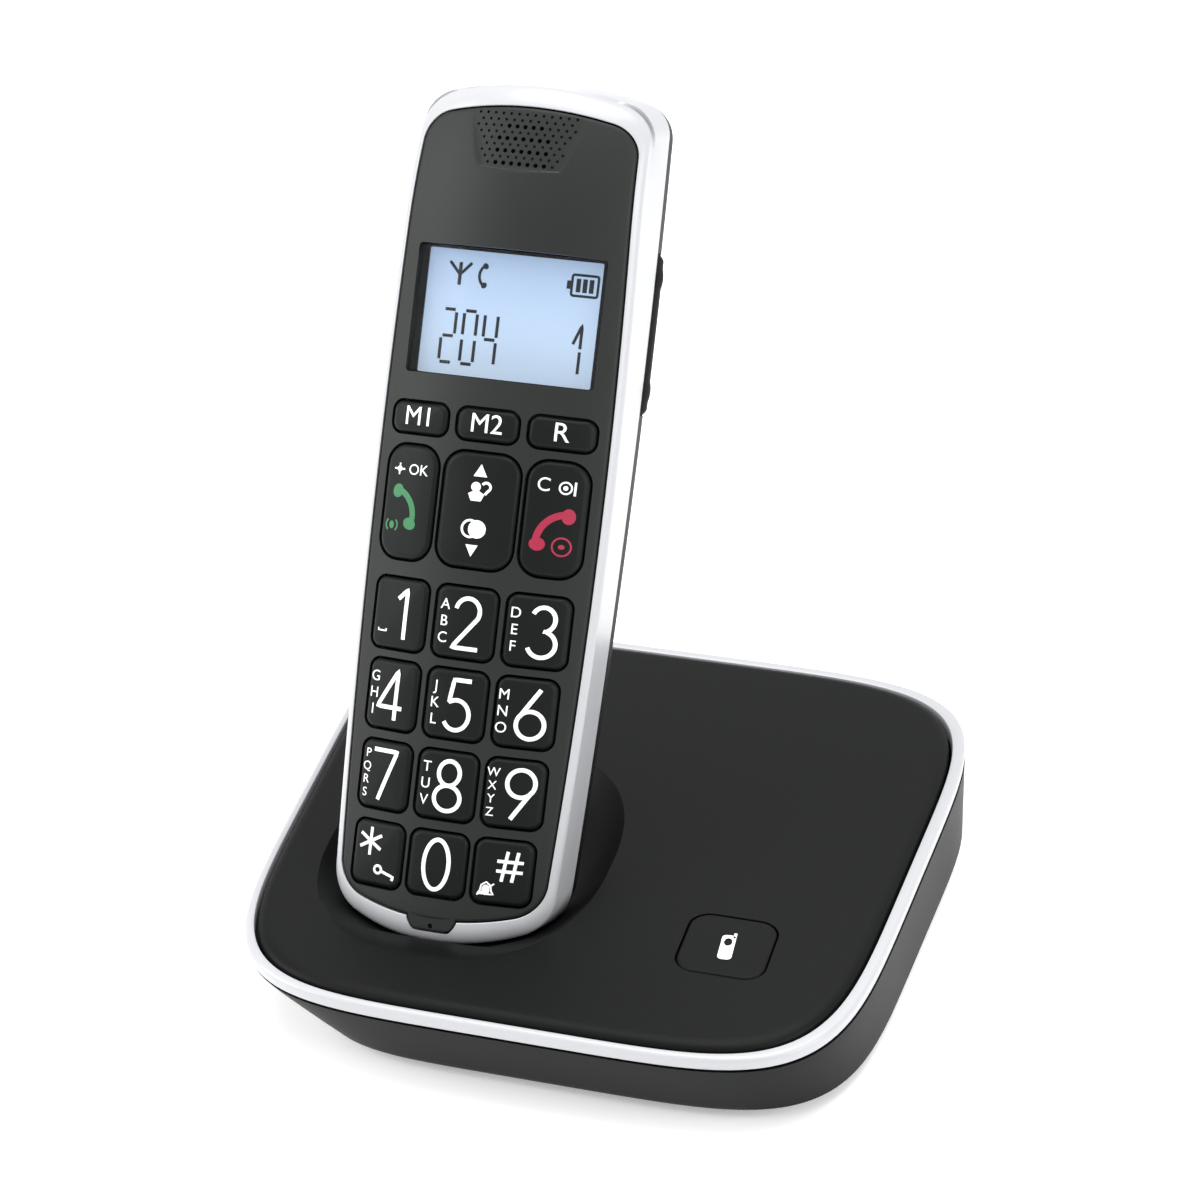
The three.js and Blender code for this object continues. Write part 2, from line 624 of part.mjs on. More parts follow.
// The room that the handset's foot takes in the cradle and leaves by, grown by a gap.
function cradlePocket(grow) {
  const foot = { ...inset(-grow), top: 90, topHalf: BODY.midHalf + grow, bottomHalf: BODY.bottomHalf + grow };
  const plan = prism(outline(foot), -40, 12);
  return docked(plan.intersect(sideEnvelope(grow, 70)).intersect(box(-40, 40, -90, 70, -40, grow)));
}

// ---- base pieces ----------------------------------------------------------------

const PLATE_TOP = RIM_TOP + PLATE_PROUD;
const SKIRT_LOW = RIM_TOP - RIM_HEIGHT; // lower edge of the top plate's skirt

// Oval dish round the handset's foot: shallow in front, deep behind, with a steep wall.
function dish(grow, deeper) {
  const levels = [0.12, 0.45, 0.7, 0.85, 0.94, 1];
  const points = 28;
  const power = 2 / DISH_SQUARENESS;
  const ringAt = (share, height) => {
    const ring = [];
    for (let i = 0; i < points; i++) {
      const angle = 2 * Math.PI * i / points;
      const x = Math.sign(Math.cos(angle)) * Math.abs(Math.cos(angle)) ** power;
      const y = Math.sign(Math.sin(angle)) * Math.abs(Math.sin(angle)) ** power;
      const along = y * share * DISH_HALF_DEPTH;
      const ramp = THREE.MathUtils.clamp((along + DISH_HALF_DEPTH + 1) / 33, 0.03, 1);
      const floor = DISH_DEPTH * ramp * (1 - share ** 5) + deeper;
      ring.push([
        HANDSET_X + x * share * (DISH_HALF_WIDTH + grow),
        HANDSET_Y + y * share * (DISH_HALF_DEPTH + grow),
        height ?? PLATE_TOP - floor,
      ]);
    }
    return ring;
  };
  return loft([...levels.map((share) => ringAt(share)), ringAt(1, PLATE_TOP + 4)]);
}

const pageShape = (grow) => roundedRectangle(
  PAGE_X - PAGE_WIDTH / 2 - grow, PAGE_X + PAGE_WIDTH / 2 + grow,
  PAGE_Y - PAGE_LENGTH / 2 - grow, PAGE_Y + PAGE_LENGTH / 2 + grow, 4 + grow);

function baseTopCover() {
  const edge = RIM_WIDTH + PLATE_GROOVE;
  const plate = loft([
    plateRing(edge, SKIRT_LOW),
    plateRing(edge, PLATE_TOP - 1.6),
    plateRing(edge + 0.5, PLATE_TOP - 0.7),
    plateRing(edge + PLATE_EDGE * 0.55, PLATE_TOP - 0.2),
    plateRing(edge + PLATE_EDGE, PLATE_TOP),
  ]);
  const under = loft([
    plateRing(edge + BASE_WALL, SKIRT_LOW - 1),
    plateRing(edge + BASE_WALL + 0.5, PLATE_TOP - BASE_WALL - 0.4),
    plateRing(edge + BASE_WALL + PLATE_EDGE, PLATE_TOP - BASE_WALL),
  ]);
  const below = box(-80, 80, -80, 80, 0, PLATE_TOP - 0.05);
  const cups = union(dish(CRADLE_WALL, CRADLE_WALL), cradlePocket(CRADLE_GAP + CRADLE_WALL)).intersect(below);
  const posts = SCREW_SPOTS.map(([x, y]) => rod(x, y, POST_RADIUS, POST_LOW, PLATE_TOP - 1, 14));
  const bores = SCREW_SPOTS.map(([x, y]) => rod(x, y, SCREW_RADIUS + GAP, 0, SCREW_TOP + 0.8, 10));
  const pins = [-CONTACT_X, CONTACT_X].map((x) =>
    docked(rodAlong(x, -CONTACT_DEPTH, PIN_RADIUS + GAP, BODY.bottom - 12, BODY.bottom + 2, 14)));
  const button = prism(pageShape(KEY_GAP), 0, 40, 4);
  const shell = union(cut(plate, under), cups, ...posts);
  return cut(shell, dish(0, 0), cradlePocket(CRADLE_GAP), button, ...bores, ...pins);
}

// Bright ring between the top plate and the lower housing, rounded over on its outside.
function baseRim() {
  const low = RIM_TOP - RIM_HEIGHT;
  const outer = loft([
    baseRing(0.3, low),
    baseRing(0, low + 1),
    baseRing(0.3, RIM_TOP - 0.6),
    baseRing(0.9, RIM_TOP),
  ]);
  const inner = loft([plateRing(RIM_WIDTH, low - 1), plateRing(RIM_WIDTH, RIM_TOP + 1)]);
  return outer.subtract(inner);
}

const HOUSING_TOP = RIM_TOP - RIM_HEIGHT - GAP;

// Drawn-in profile of the lower housing, from its underside up, as share of height and of tuck.
const HOUSING_PROFILE = [[0, 1], [0.08, 0.9], [0.55, 0.45], [1, 0.03]];

function housingSolid(inwards, top, bottom) {
  const rings = HOUSING_PROFILE.map(([rise, tucked]) =>
    baseRing(inwards, bottom + (HOUSING_TOP - bottom) * rise, tucked));
  rings.push(baseRing(inwards, top, HOUSING_PROFILE.at(-1)[1]));
  return loft(rings);
}

function baseBottomCover() {
  const tub = housingSolid(0, HOUSING_TOP + 0.01, FLOOR_BOTTOM);
  const room = housingSolid(BASE_WALL, HOUSING_TOP + 2, FLOOR_BOTTOM + BASE_WALL);
  const bayRoof = SKIRT_LOW - GAP;
  const bay = box(BAY_LEFT, BAY_RIGHT, BAY_WALL_Y, 90, 0, bayRoof - 1.5);
  const bayWall = box(BAY_LEFT - BASE_WALL, BAY_RIGHT + BASE_WALL, BAY_WALL_Y - BASE_WALL, 90, 0, bayRoof);
  const cups = SCREW_SPOTS.map(([x, y]) => rod(x, y, 4.6, FLOOR_BOTTOM + 1, POST_LOW - GAP, 16));
  const bores = SCREW_SPOTS.flatMap(([x, y]) => [
    rod(x, y, SCREW_HEAD + 0.4, 0, POST_LOW - 2.2, 16),
    rod(x, y, SCREW_RADIUS + GAP, 0, POST_LOW + 1, 10),
  ]);
  const feet = FOOT_SPOTS.map(([x, y]) => rod(x, y, FOOT_RADIUS + GAP, 0, FLOOR_BOTTOM + FOOT_SUNK, 20));
  const line = box(LINE_X - 5.5, LINE_X + 5.5, BAY_WALL_Y - 5, 90, SOCKET_FLOOR + 1.6, SOCKET_FLOOR + 9.2);
  const power = rodAlong(POWER_X, SOCKET_FLOOR + 5.4, 3.4, BAY_WALL_Y - 5, 90, 16);
  const shell = union(cut(tub, cut(room, bayWall)), ...cups);
  return cut(shell, bay, ...bores, ...feet, line, power);
}

const BASE_BOARD_TOP = BASE_BOARD_Z + BOARD_THICK;
const PAGE_SWITCH_TOP = BASE_BOARD_TOP + GAP + 3.6;

function pageButton() {
  const top = PLATE_TOP + 0.1;
  const under = PLATE_TOP - BASE_WALL;
  const cap = prism(pageShape(0), under - 1.8, top, 4);
  const flange = prism(pageShape(1), under - 1.8, under - 0.4, 4);
  const plunger = rod(PAGE_X, PAGE_Y, 2.4, PAGE_SWITCH_TOP + PAGE_TRAVEL + 0.4, under - 1.7, 16);
  return union(cap, flange, plunger);
}

function pageSwitch() {
  const low = BASE_BOARD_TOP + GAP;
  const body = box(PAGE_X - 3, PAGE_X + 3, PAGE_Y - 3, PAGE_Y + 3, low, low + 3);
  return body.add(rod(PAGE_X, PAGE_Y, 1.6, low + 2.9, PAGE_SWITCH_TOP, 12));
}

function baseCircuitBoard() {
  const shape = roundedRectangle(BOARD_LEFT, BOARD_RIGHT, BOARD_FRONT, BOARD_BACK, 1.5);
  return prism(shape, BASE_BOARD_Z, BASE_BOARD_TOP, 2);
}

const PIN_TIP = PAD_LOW - GAP;
const PIN_LENGTH = 6.4;
const HOLDER_TOP = BODY.bottom - CRADLE_GAP - CRADLE_WALL - 0.4;

function chargePin(x) {
  const tip = rodAlong(x, -CONTACT_DEPTH, PIN_RADIUS * 0.7, PIN_TIP - 0.5, PIN_TIP, 14);
  const stem = rodAlong(x, -CONTACT_DEPTH, PIN_RADIUS, PIN_TIP - PIN_LENGTH, PIN_TIP - 0.49, 14);
  return tip.add(stem);
}

function contactHolder() {
  const block = box(
    -CONTACT_X - 4, CONTACT_X + 4, HOLDER_TOP - 3.4, HOLDER_TOP, -CONTACT_DEPTH - 3, 3 - CONTACT_DEPTH);
  const bores = [-CONTACT_X, CONTACT_X].map((x) =>
    rodAlong(x, -CONTACT_DEPTH, PIN_RADIUS + GAP, HOLDER_TOP - 6, HOLDER_TOP + 1, 14));
  return cut(block, ...bores);
}

function lineSocket() {
  const front = SOCKET_FRONT;
  const body = box(LINE_X - 7, LINE_X + 7, front - LINE_LENGTH, front, SOCKET_FLOOR, SOCKET_FLOOR + 11);
  const mouth = box(
    LINE_X - 4.9, LINE_X + 4.9, front - 11, front + 1, SOCKET_FLOOR + 2.2, SOCKET_FLOOR + 8.6);
  return cut(body, mouth);
}

function powerSocket() {
  const front = SOCKET_FRONT;
  const centre = SOCKET_FLOOR + 5.4;
  const body = box(
    POWER_X - 4.5, POWER_X + 4.5, front - POWER_LENGTH, front, SOCKET_FLOOR, SOCKET_FLOOR + 10.6);
  const mouth = rodAlong(POWER_X, centre, 2.9, front - 9, front + 1, 16);
  const pin = rodAlong(POWER_X, centre, 0.9, front - 9.5, front - 2, 10);
  return cut(body, mouth).add(pin);
}

function foot([x, y]) {
  return rod(x, y, FOOT_RADIUS, 0, FLOOR_BOTTOM + FOOT_SUNK - GAP, 20);
}

function baseScrew([x, y]) {
  const headTop = POST_LOW - 2.2 - GAP;
  const head = rod(x, y, SCREW_HEAD, headTop - 1.5, headTop, 16);
  const shank = rod(x, y, SCREW_RADIUS, headTop - 0.1, SCREW_TOP, 10);
  const slot = box(x - 1.7, x + 1.7, y - 0.4, y + 0.4, 0, headTop - 0.9);
  return head.add(shank).subtract(slot);
}

// ---- assembly ------------------------------------------------------------------------

const phone = new THREE.Group();

function place(name, body, material, parent = phone) {
  const mesh = new THREE.Mesh(surface(body), material);
  mesh.name = name;
  parent.add(mesh);
}

place('base_top_cover', baseTopCover(), finishes.shell);
place('base_rim', baseRim(), finishes.silver);
place('base_bottom_cover', baseBottomCover(), finishes.shell);
place('page_button', pageButton(), finishes.shell);
place('page_switch', pageSwitch(), finishes.socket);
place('base_circuit_board', baseCircuitBoard(), finishes.board);
place('line_socket', lineSocket(), finishes.socket);
place('power_socket', powerSocket(), finishes.socket);
FOOT_SPOTS.forEach((spot, i) => place(`foot_${i + 1}`, foot(spot), finishes.rubber));
SCREW_SPOTS.forEach((spot, i) => place(`base_screw_${i + 1}`, baseScrew(spot), finishes.steel));

// The cradle's contacts lie along the handset's own axes but belong to the base.
const cradle = new THREE.Group();
cradle.position.copy(handset.position);
cradle.rotation.copy(handset.rotation);
place('contact_holder', contactHolder(), finishes.socket, cradle);
place('charge_pin_left', chargePin(-CONTACT_X), finishes.gold, cradle);
place('charge_pin_right', chargePin(CONTACT_X), finishes.gold, cradle);

place('handset_front_cover', handsetFrontCover(), finishes.face, handset);
place('handset_frame', handsetFrame(), finishes.silver, handset);
place('handset_back_cover', handsetBackCover(), finishes.shell, handset);
place('battery_door', batteryDoor(), finishes.shell, handset);
place('volume_rocker', volumeRocker(), finishes.shell, handset);
place('display_lens', displayLens(), finishes.clear, handset);
place('display_module', displayModule(), finishes.display, handset);
place('handset_circuit_board', handsetCircuitBoard(), finishes.board, handset);
place('keypad_mat', keypadMat(), finishes.rubber, handset);
place('earpiece', earpiece(), finishes.socket, handset);
place('microphone', microphone(), finishes.steel, handset);
place('ringer_speaker', ringerSpeaker(), finishes.socket, handset);
KEYS.forEach((key) => place(key.name, keyCap(key), finishes.key, handset));
place('cell_left', cell(-CELL_X, true), finishes.cell, handset);
place('cell_right', cell(CELL_X, false), finishes.cell, handset);
place('cell_spring_left', cellSpring(-CELL_X, true), finishes.steel, handset);
place('cell_spring_right', cellSpring(CELL_X, false), finishes.steel, handset);
place('cell_link', cellLink(), finishes.steel, handset);
place('charge_pad_left', chargePad(-CONTACT_X), finishes.gold, handset);
place('charge_pad_right', chargePad(CONTACT_X), finishes.gold, handset);
HANDSET_SCREWS.forEach((x, i) => place(`handset_screw_${i + 1}`, handsetScrew(x), finishes.steel, handset));

phone.add(handset, cradle);

export default phone;
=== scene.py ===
# %% [markdown]
# # A cordless phone standing in its charging base
#
# The shapes that carry load and the joints come from a CAD model, which this script loads as a fixed
# frame. Each visible piece is then modelled again with more detail, or keeps its CAD shape and gets a
# finish. Everything is worked out in millimetres and made metres when a piece is put in place.

# %% Load the frame
import math

import bpy
from mathutils import Matrix, Vector


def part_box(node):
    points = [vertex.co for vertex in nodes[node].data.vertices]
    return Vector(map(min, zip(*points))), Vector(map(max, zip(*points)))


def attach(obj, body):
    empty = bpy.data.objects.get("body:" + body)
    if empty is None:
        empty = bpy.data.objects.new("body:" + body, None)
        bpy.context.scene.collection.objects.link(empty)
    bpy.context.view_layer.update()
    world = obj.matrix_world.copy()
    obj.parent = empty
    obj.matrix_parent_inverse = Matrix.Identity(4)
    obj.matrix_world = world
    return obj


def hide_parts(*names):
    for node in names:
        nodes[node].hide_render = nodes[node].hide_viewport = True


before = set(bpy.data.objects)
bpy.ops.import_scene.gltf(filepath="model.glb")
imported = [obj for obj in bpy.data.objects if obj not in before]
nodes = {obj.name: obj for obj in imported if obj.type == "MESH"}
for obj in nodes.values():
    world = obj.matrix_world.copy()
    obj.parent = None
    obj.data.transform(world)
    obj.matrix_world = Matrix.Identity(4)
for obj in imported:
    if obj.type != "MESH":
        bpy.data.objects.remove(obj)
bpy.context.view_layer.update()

MM = 0.001
print("frame loaded:", len(nodes), "nodes")

# %% [markdown]
# ## Driving sizes
# A phone like this is drawn from two outlines: the base's rounded trapezoid and the handset's long
# barrel. The heights come from the frame, and the rest are the maker's dimensions in millimetres.

# %% Sizes of the base
BASE_HALF_WIDTH = 64.4
BASE_HALF_DEPTH = 68.6
BASE_CENTRE_Y = 1.0
BASE_SQUARENESS = 5.1
BASE_FLARE = 0.066
RIM_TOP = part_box("base_rim")[1].z / MM
RIM_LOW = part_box("base_rim")[0].z / MM
RIM_WIDTH = 1.7
GROOVE = 0.6
PLATE_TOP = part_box("base_top_cover")[1].z / MM
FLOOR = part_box("base_bottom_cover")[0].z / MM
TUCK = {"left": 15.0, "right": -1.2, "front": 7.2, "back": 9.5}
# how much further in the rim's inner edge lies on each side
RIM_EXTRA = {"left": 0.0, "right": 0.8, "front": 0.0, "back": 1.0}
DISH_HALF_WIDTH = 28.5
DISH_HALF_DEPTH = 37.5
DISH_DEPTH = 10.5
DISH_SQUARENESS = 2.4
print("base rim", round(RIM_LOW, 1), "to", round(RIM_TOP, 1), "plate top", round(PLATE_TOP, 1))

# %% Sizes of the handset
LEAN = 28.3
HANDSET_AT = Vector((-23.4, -14.5, 71.8))
FACE_RADIUS = 43.3
CROWN_START = 75.0
CROWN_RADIUS = 80.0
BODY = {"top": 103.8, "bottom": -61.4, "top_half": 22.9, "mid_half": 24.3, "bottom_half": 22.4,
        "top_corner": 8.0, "bottom_corner": 9.0, "top_end": 75.0, "bottom_end": 46.0}
BODY_BACK = dict(BODY, top=106.2, top_half=24.2, mid_half=24.5, top_corner=6.5)
THICKNESS = 27.0
FRAME_BACK = 19.5
FRAME_WALL = 1.4
END_LIP = 4.4
END_FLATTER = 12.0
COVER_WALL = 1.8
GAP = 0.3
KEY_PROUD = 0.5
WINDOW_HALF, WINDOW_LOW, WINDOW_HIGH = 18.8, 47.0, 71.9
DISPLAY_DEPTH = 7.4

docked = (Matrix.Translation(HANDSET_AT * MM)
          @ Matrix.Rotation(math.radians(90 - LEAN), 4, "X") @ Matrix.Scale(MM, 4))
upright = Matrix.Scale(MM, 4)
print("handset leans", LEAN, "degrees")

# %% [markdown]
# ## Modelling helpers
# Operators act on whatever is selected, so every step starts from a clean selection. Most moulded
# shells here are swept skins: a flat grid is rolled into a tube, each row of the grid is laid on one
# ring of the shape, the seam is merged, and rows that shrink to a point close the ends. A subdivided
# cage would also do, but rings keep the exact outline.

# %% Selecting and finishing
def only(obj):
    """Selects one object and nothing else."""
    bpy.ops.object.select_all(action="DESELECT")
    obj.select_set(True)
    bpy.context.view_layer.objects.active = obj


def edit(obj, *steps):
    """Runs edit-mode steps on all of an object's mesh."""
    only(obj)
    bpy.ops.object.mode_set(mode="EDIT")
    bpy.ops.mesh.select_all(action="SELECT")
    for step in steps:
        step()
    bpy.ops.object.mode_set(mode="OBJECT")


def tidy(obj, reach=1e-3):
    """Merges doubled points and turns every face outwards."""
    edit(obj,
         lambda: bpy.ops.mesh.remove_doubles(threshold=reach),
         lambda: bpy.ops.mesh.normals_make_consistent(inside=False))
    return obj


def smooth(obj, angle=32):
    """Smooth shading, except across edges sharper than an angle in degrees."""
    only(obj)
    bpy.ops.object.shade_smooth_by_angle(angle=math.radians(angle))
    return obj


def apply(obj, kind, **settings):
    """Adds a modifier and applies it."""
    only(obj)
    modifier = obj.modifiers.new(kind.title(), kind)
    for key, value in settings.items():
        setattr(modifier, key, value)
    bpy.ops.object.modifier_apply(modifier=modifier.name)
    return obj


def carve(obj, cutter, operation="DIFFERENCE"):
    """Cuts, joins or intersects with another solid, which is used up."""
    apply(obj, "BOOLEAN", operation=operation, object=cutter, solver="EXACT")
    bpy.data.objects.remove(cutter, do_unlink=True)
    return obj


def joined(name, parts):
    """Several objects as one mesh."""
    bpy.ops.object.select_all(action="DESELECT")
    for part in parts:
        part.select_set(True)
    bpy.context.view_layer.objects.active = parts[0]
    if len(parts) > 1:
        bpy.ops.object.join()
    parts[0].name = name
    return parts[0]


# %% The swept skin
def skin(name, rows):
    """A closed skin through rows of points that all have the same count."""
    around, along = len(rows[0]), len(rows)
    bpy.ops.object.select_all(action="DESELECT")
    bpy.ops.mesh.primitive_grid_add(x_subdivisions=around, y_subdivisions=along - 1, size=1)
    obj = bpy.context.object
    obj.name = name
    flat = []
    for row in rows:
        for point in [*row, row[0]]:
            flat.extend(point)
    obj.data.vertices.foreach_set("co", flat)
    obj.data.update()
    return tidy(obj)


def point_row(row, x=None, y=None, z=None):
    """A row shrunk to one point, to close an end."""
    centre = [sum(p[k] for p in row) / len(row) for k in range(3)]
    point = tuple(c if given is None else given for c, given in zip(centre, (x, y, z)))
    return [point] * len(row)


def stack(name, rings):
    """A solid through rings, closed at both ends."""
    return skin(name, [point_row(rings[0]), *rings, point_row(rings[-1])])


# %% [markdown]
# ## Outlines
# The base's outline is a superellipse whose back is a little wider than its front. The handset's is
# made of two bowed sides, two convex ends and four round corners, each with its own share of points,
# so that rings of different sizes match point for point.

# %% Base outline
BASE_POINTS = 220


def base_ring(inset, z, share=0.0, sides=TUCK):
    """The base's outline at height z, drawn in all round and by a share of each side's amount."""
    ring = []
    power = 2 / BASE_SQUARENESS
    for i in range(BASE_POINTS):
        # even steps along the sides and finer ones round the corners
        turn = 2 * math.pi * (i + 0.5) / BASE_POINTS
        angle = turn - 0.16 * math.sin(4 * turn)
        across = math.copysign(abs(math.cos(angle)) ** power, math.cos(angle))
        along = math.copysign(abs(math.sin(angle)) ** power, math.sin(angle))
        half_width = BASE_HALF_WIDTH - inset - share * sides["left" if across < 0 else "right"]
        half_depth = BASE_HALF_DEPTH - inset - share * sides["front" if along < 0 else "back"]
        ring.append((half_width * across * (1 + BASE_FLARE * along), BASE_CENTRE_Y + half_depth * along, z))
    return ring


def plate_ring(inset, z):
    """The outline of the top plate, inside the rim, which is wider at the right and the back."""
    return base_ring(inset, z, 1.0, RIM_EXTRA)


# %% Handset outline and face
SIDE_STEPS, CORNER_STEPS, END_STEPS = 46, 12, 30


def arc(x, y, rx, ry, start, end, steps, last=False):
    """Points on an arc between two angles in degrees, with or without its last point."""
    count = steps + 1 if last else steps
    turns = [math.radians(start + (end - start) * i / steps) for i in range(count)]
    return [(x + rx * math.cos(t), y + ry * math.sin(t)) for t in turns]


def circle(x, y, radius, steps):
    return arc(x, y, radius, radius, 0, 360, steps)


def square_ring(across, along):
    """Points round a square from -1 to 1, with a number of steps along each side."""
    low = [(2 * i / across - 1, -1) for i in range(across)]
    right = [(1, 2 * i / along - 1) for i in range(along)]
    return [*low, *right, *((-u, -v) for u, v in low), *((-u, -v) for u, v in right)]


def drawn_in(side, low=None, high=None, flatter=0.0, body=BODY):
    """An outline's sizes drawn in by one amount at the sides and others at the two ends."""
    low = side if low is None else low
    high = low if high is None else high
    return {"top": body["top"] - high, "bottom": body["bottom"] + low,
            "top_half": body["top_half"] - side, "mid_half": body["mid_half"] - side,
            "bottom_half": body["bottom_half"] - side,
            "top_corner": max(0.4, body["top_corner"] - side),
            "bottom_corner": max(0.4, body["bottom_corner"] - side),
            "top_end": body["top_end"] - side + flatter,
            "bottom_end": body["bottom_end"] - side + flatter}


def outline(body):
    """The handset's outline from the right-hand lower corner, counter-clockwise."""
    def end(half, corner, radius, tip, sign):
        hub = tip - sign * radius
        rise = math.sqrt((radius - corner) ** 2 - (half - corner) ** 2)
        return hub, hub + sign * rise, math.degrees(math.atan2(half - corner, rise))

    hub, top_y, turn = end(body["top_half"], body["top_corner"], body["top_end"], body["top"], 1)
    low_hub, low_y, low_turn = end(
        body["bottom_half"], body["bottom_corner"], body["bottom_end"], body["bottom"], -1)
    bulge = 2 * body["mid_half"] - (body["top_half"] + body["bottom_half"]) / 2

    def side(sign, steps):
        points = []
        for i in range(steps):
            t = i / steps if sign > 0 else 1 - i / steps
            x = ((1 - t) ** 2 * body["bottom_half"] + 2 * t * (1 - t) * bulge
                 + t ** 2 * body["top_half"])
            y = (1 - t) ** 2 * low_y + t * (1 - t) * (top_y + low_y) + t ** 2 * top_y
            points.append((sign * x, y))
        return points

    top_x, low_x = body["top_half"] - body["top_corner"], body["bottom_half"] - body["bottom_corner"]
    corner, low_corner = body["top_corner"], body["bottom_corner"]
    return [
        *side(1, SIDE_STEPS),
        *arc(top_x, top_y, corner, corner, 0, 90 - turn, CORNER_STEPS),
        *arc(0, hub, body["top_end"], body["top_end"], 90 - turn, 90 + turn, END_STEPS),
        *arc(-top_x, top_y, corner, corner, 90 + turn, 180, CORNER_STEPS),
        *side(-1, SIDE_STEPS),
        *arc(-low_x, low_y, low_corner, low_corner, 180, 270 - low_turn, CORNER_STEPS),
        *arc(0, low_hub, body["bottom_end"], body["bottom_end"], 270 - low_turn, 270 + low_turn, END_STEPS),
        *arc(low_x, low_y, low_corner, low_corner, 270 + low_turn, 360, CORNER_STEPS),
    ]


def end_share():
    """For each point of the outline, 0 at the sides, 1 at the ends, and between them in the corners."""
    rise = [i / CORNER_STEPS for i in range(CORNER_STEPS)]
    fall = [1 - share for share in rise]
    half = [0.0] * SIDE_STEPS + rise + [1.0] * END_STEPS + fall
    return half + half


END_SHARE = end_share()


def face_height(x, y):
    """Height of the curved face, which rolls back over its top end."""
    arm = math.sqrt(FACE_RADIUS ** 2 - x * x) - FACE_RADIUS + CROWN_RADIUS
    rise = max(0.0, y - CROWN_START)
    return math.sqrt(arm * arm - rise * rise) - CROWN_RADIUS


def on_face(points, drop=0.0):
    """Points laid at a depth below the face, which may differ from point to point."""
    drops = drop if isinstance(drop, list) else [drop] * len(points)
    return [(x, y, face_height(x, y) - d) for (x, y), d in zip(points, drops)]


def at(points, z):
    return [(x, y, z) for x, y in points]


def towards_spine(points, share, margin=20.0):
    """Points drawn towards a line along the handset's middle."""
    low, high = min(y for _, y in points), max(y for _, y in points)
    squeeze = (high - low - 2 * margin) / (high - low)
    middle = (high + low) / 2
    return [(x * (1 - share), y + share * (middle + (y - middle) * squeeze - y)) for x, y in points]


def rounded(x0, x1, y0, y1, radius, steps=8):
    """A rounded rectangle, counter-clockwise."""
    corners = ((x1 - radius, y1 - radius, 0), (x0 + radius, y1 - radius, 90),
               (x0 + radius, y0 + radius, 180), (x1 - radius, y0 + radius, 270))
    return [p for x, y, start in corners
            for p in arc(x, y, radius, radius, start, start + 90, steps, last=True)]


def slab(name, points, z0, z1):
    """A flat-ended solid of an outline between two heights."""
    return stack(name, [at(points, z0), at(points, z1)])


# %% [markdown]
# ## Shader helpers
# Every finish is a Principled shader. What varies over the surface is worked out as Python
# expressions: a wrapped socket adds Math nodes when it is added to or multiplied.

# %% Wrapped sockets and one way to make nodes
class Amount:
    """A number that varies over a surface."""

    def __init__(self, finish, socket):
        self.finish, self.socket = finish, socket

    def maths(self, operation, left, right):
        node = self.finish.node("ShaderNodeMath", {"operation": operation}, {0: left, 1: right})
        return Amount(self.finish, node.outputs[0])

    def __add__(self, other):
        return self.maths("ADD", self, other)

    def __sub__(self, other):
        return self.maths("SUBTRACT", self, other)

    def __rsub__(self, other):
        return self.maths("SUBTRACT", other, self)

    def __mul__(self, other):
        return self.maths("MULTIPLY", self, other)

    __radd__ = __add__
    __rmul__ = __mul__


class Finish:
    """A material, its Principled shader and the nodes that feed it."""

    def __init__(self, name, colour, roughness, metallic=0.0, **constants):
        self.material = bpy.data.materials.new(name)
        self.material.use_nodes = True
        self.tree = self.material.node_tree
        self.shader = self.tree.nodes["Principled BSDF"]
        self.set(Base_Color=(*colour, 1.0), Roughness=roughness, Metallic=metallic, **constants)
        self.material.diffuse_color = (*colour, 1.0)
        self.colour = (*colour, 1.0)

    def set(self, **inputs):
        for name, value in inputs.items():
            self.plug(self.shader.inputs[name.replace("_", " ")], value)

    def plug(self, target, value):
        if isinstance(value, Amount):
            self.tree.links.new(value.socket, target)
        else:
            target.default_value = value

    def node(self, kind, settings, inputs):
        node = self.tree.nodes.new(kind)
        for key, value in settings.items():
            setattr(node, key, value)
        for key, value in inputs.items():
            self.plug(node.inputs[key], value)
        return node

    def place(self):
        """Object coordinates."""
        return Amount(self, self.node("ShaderNodeTexCoord", {}, {}).outputs["Object"])

    def height(self, axis):
        """One of the object coordinates as a number."""
        split = self.node("ShaderNodeSeparateXYZ", {}, {0: self.place()})
        return Amount(self, split.outputs[axis])

    def noise(self, grains_per_metre, detail=2.0, roughness=0.5):
        node = self.node("ShaderNodeTexNoise", {},
                         {"Vector": self.place(), "Scale": grains_per_metre,
                          "Detail": detail, "Roughness": roughness})
        return Amount(self, node.outputs[0])

    def mix(self, share, one, other):
        """A colour between two."""
        node = self.node("ShaderNodeMix", {"data_type": "RGBA"}, {0: share, 6: one, 7: other})
        return Amount(self, node.outputs[2])

    def bump(self, height, depth_mm):
        node = self.node("ShaderNodeBump", {},
                         {"Height": height, "Distance": depth_mm * MM, "Strength": 1.0})
        return Amount(self, node.outputs[0])


def shade(red, green, blue):
    """A screen colour, 0 to 255, as linear light."""
    return tuple(((c / 255 + 0.055) / 1.055) ** 2.4 if c > 10 else c / 255 / 12.92
                 for c in (red, green, blue))


def lighter(colour, factor):
    return (*(min(1.0, c * factor) for c in colour[:3]), 1.0)


# %% [markdown]
# ## Finishes
# The face, keys and housings are moulded in dark plastic that has been spark-eroded: a very fine
# grain that spreads highlights. The frame and rim are bright, smooth plastic. Legends are printed.

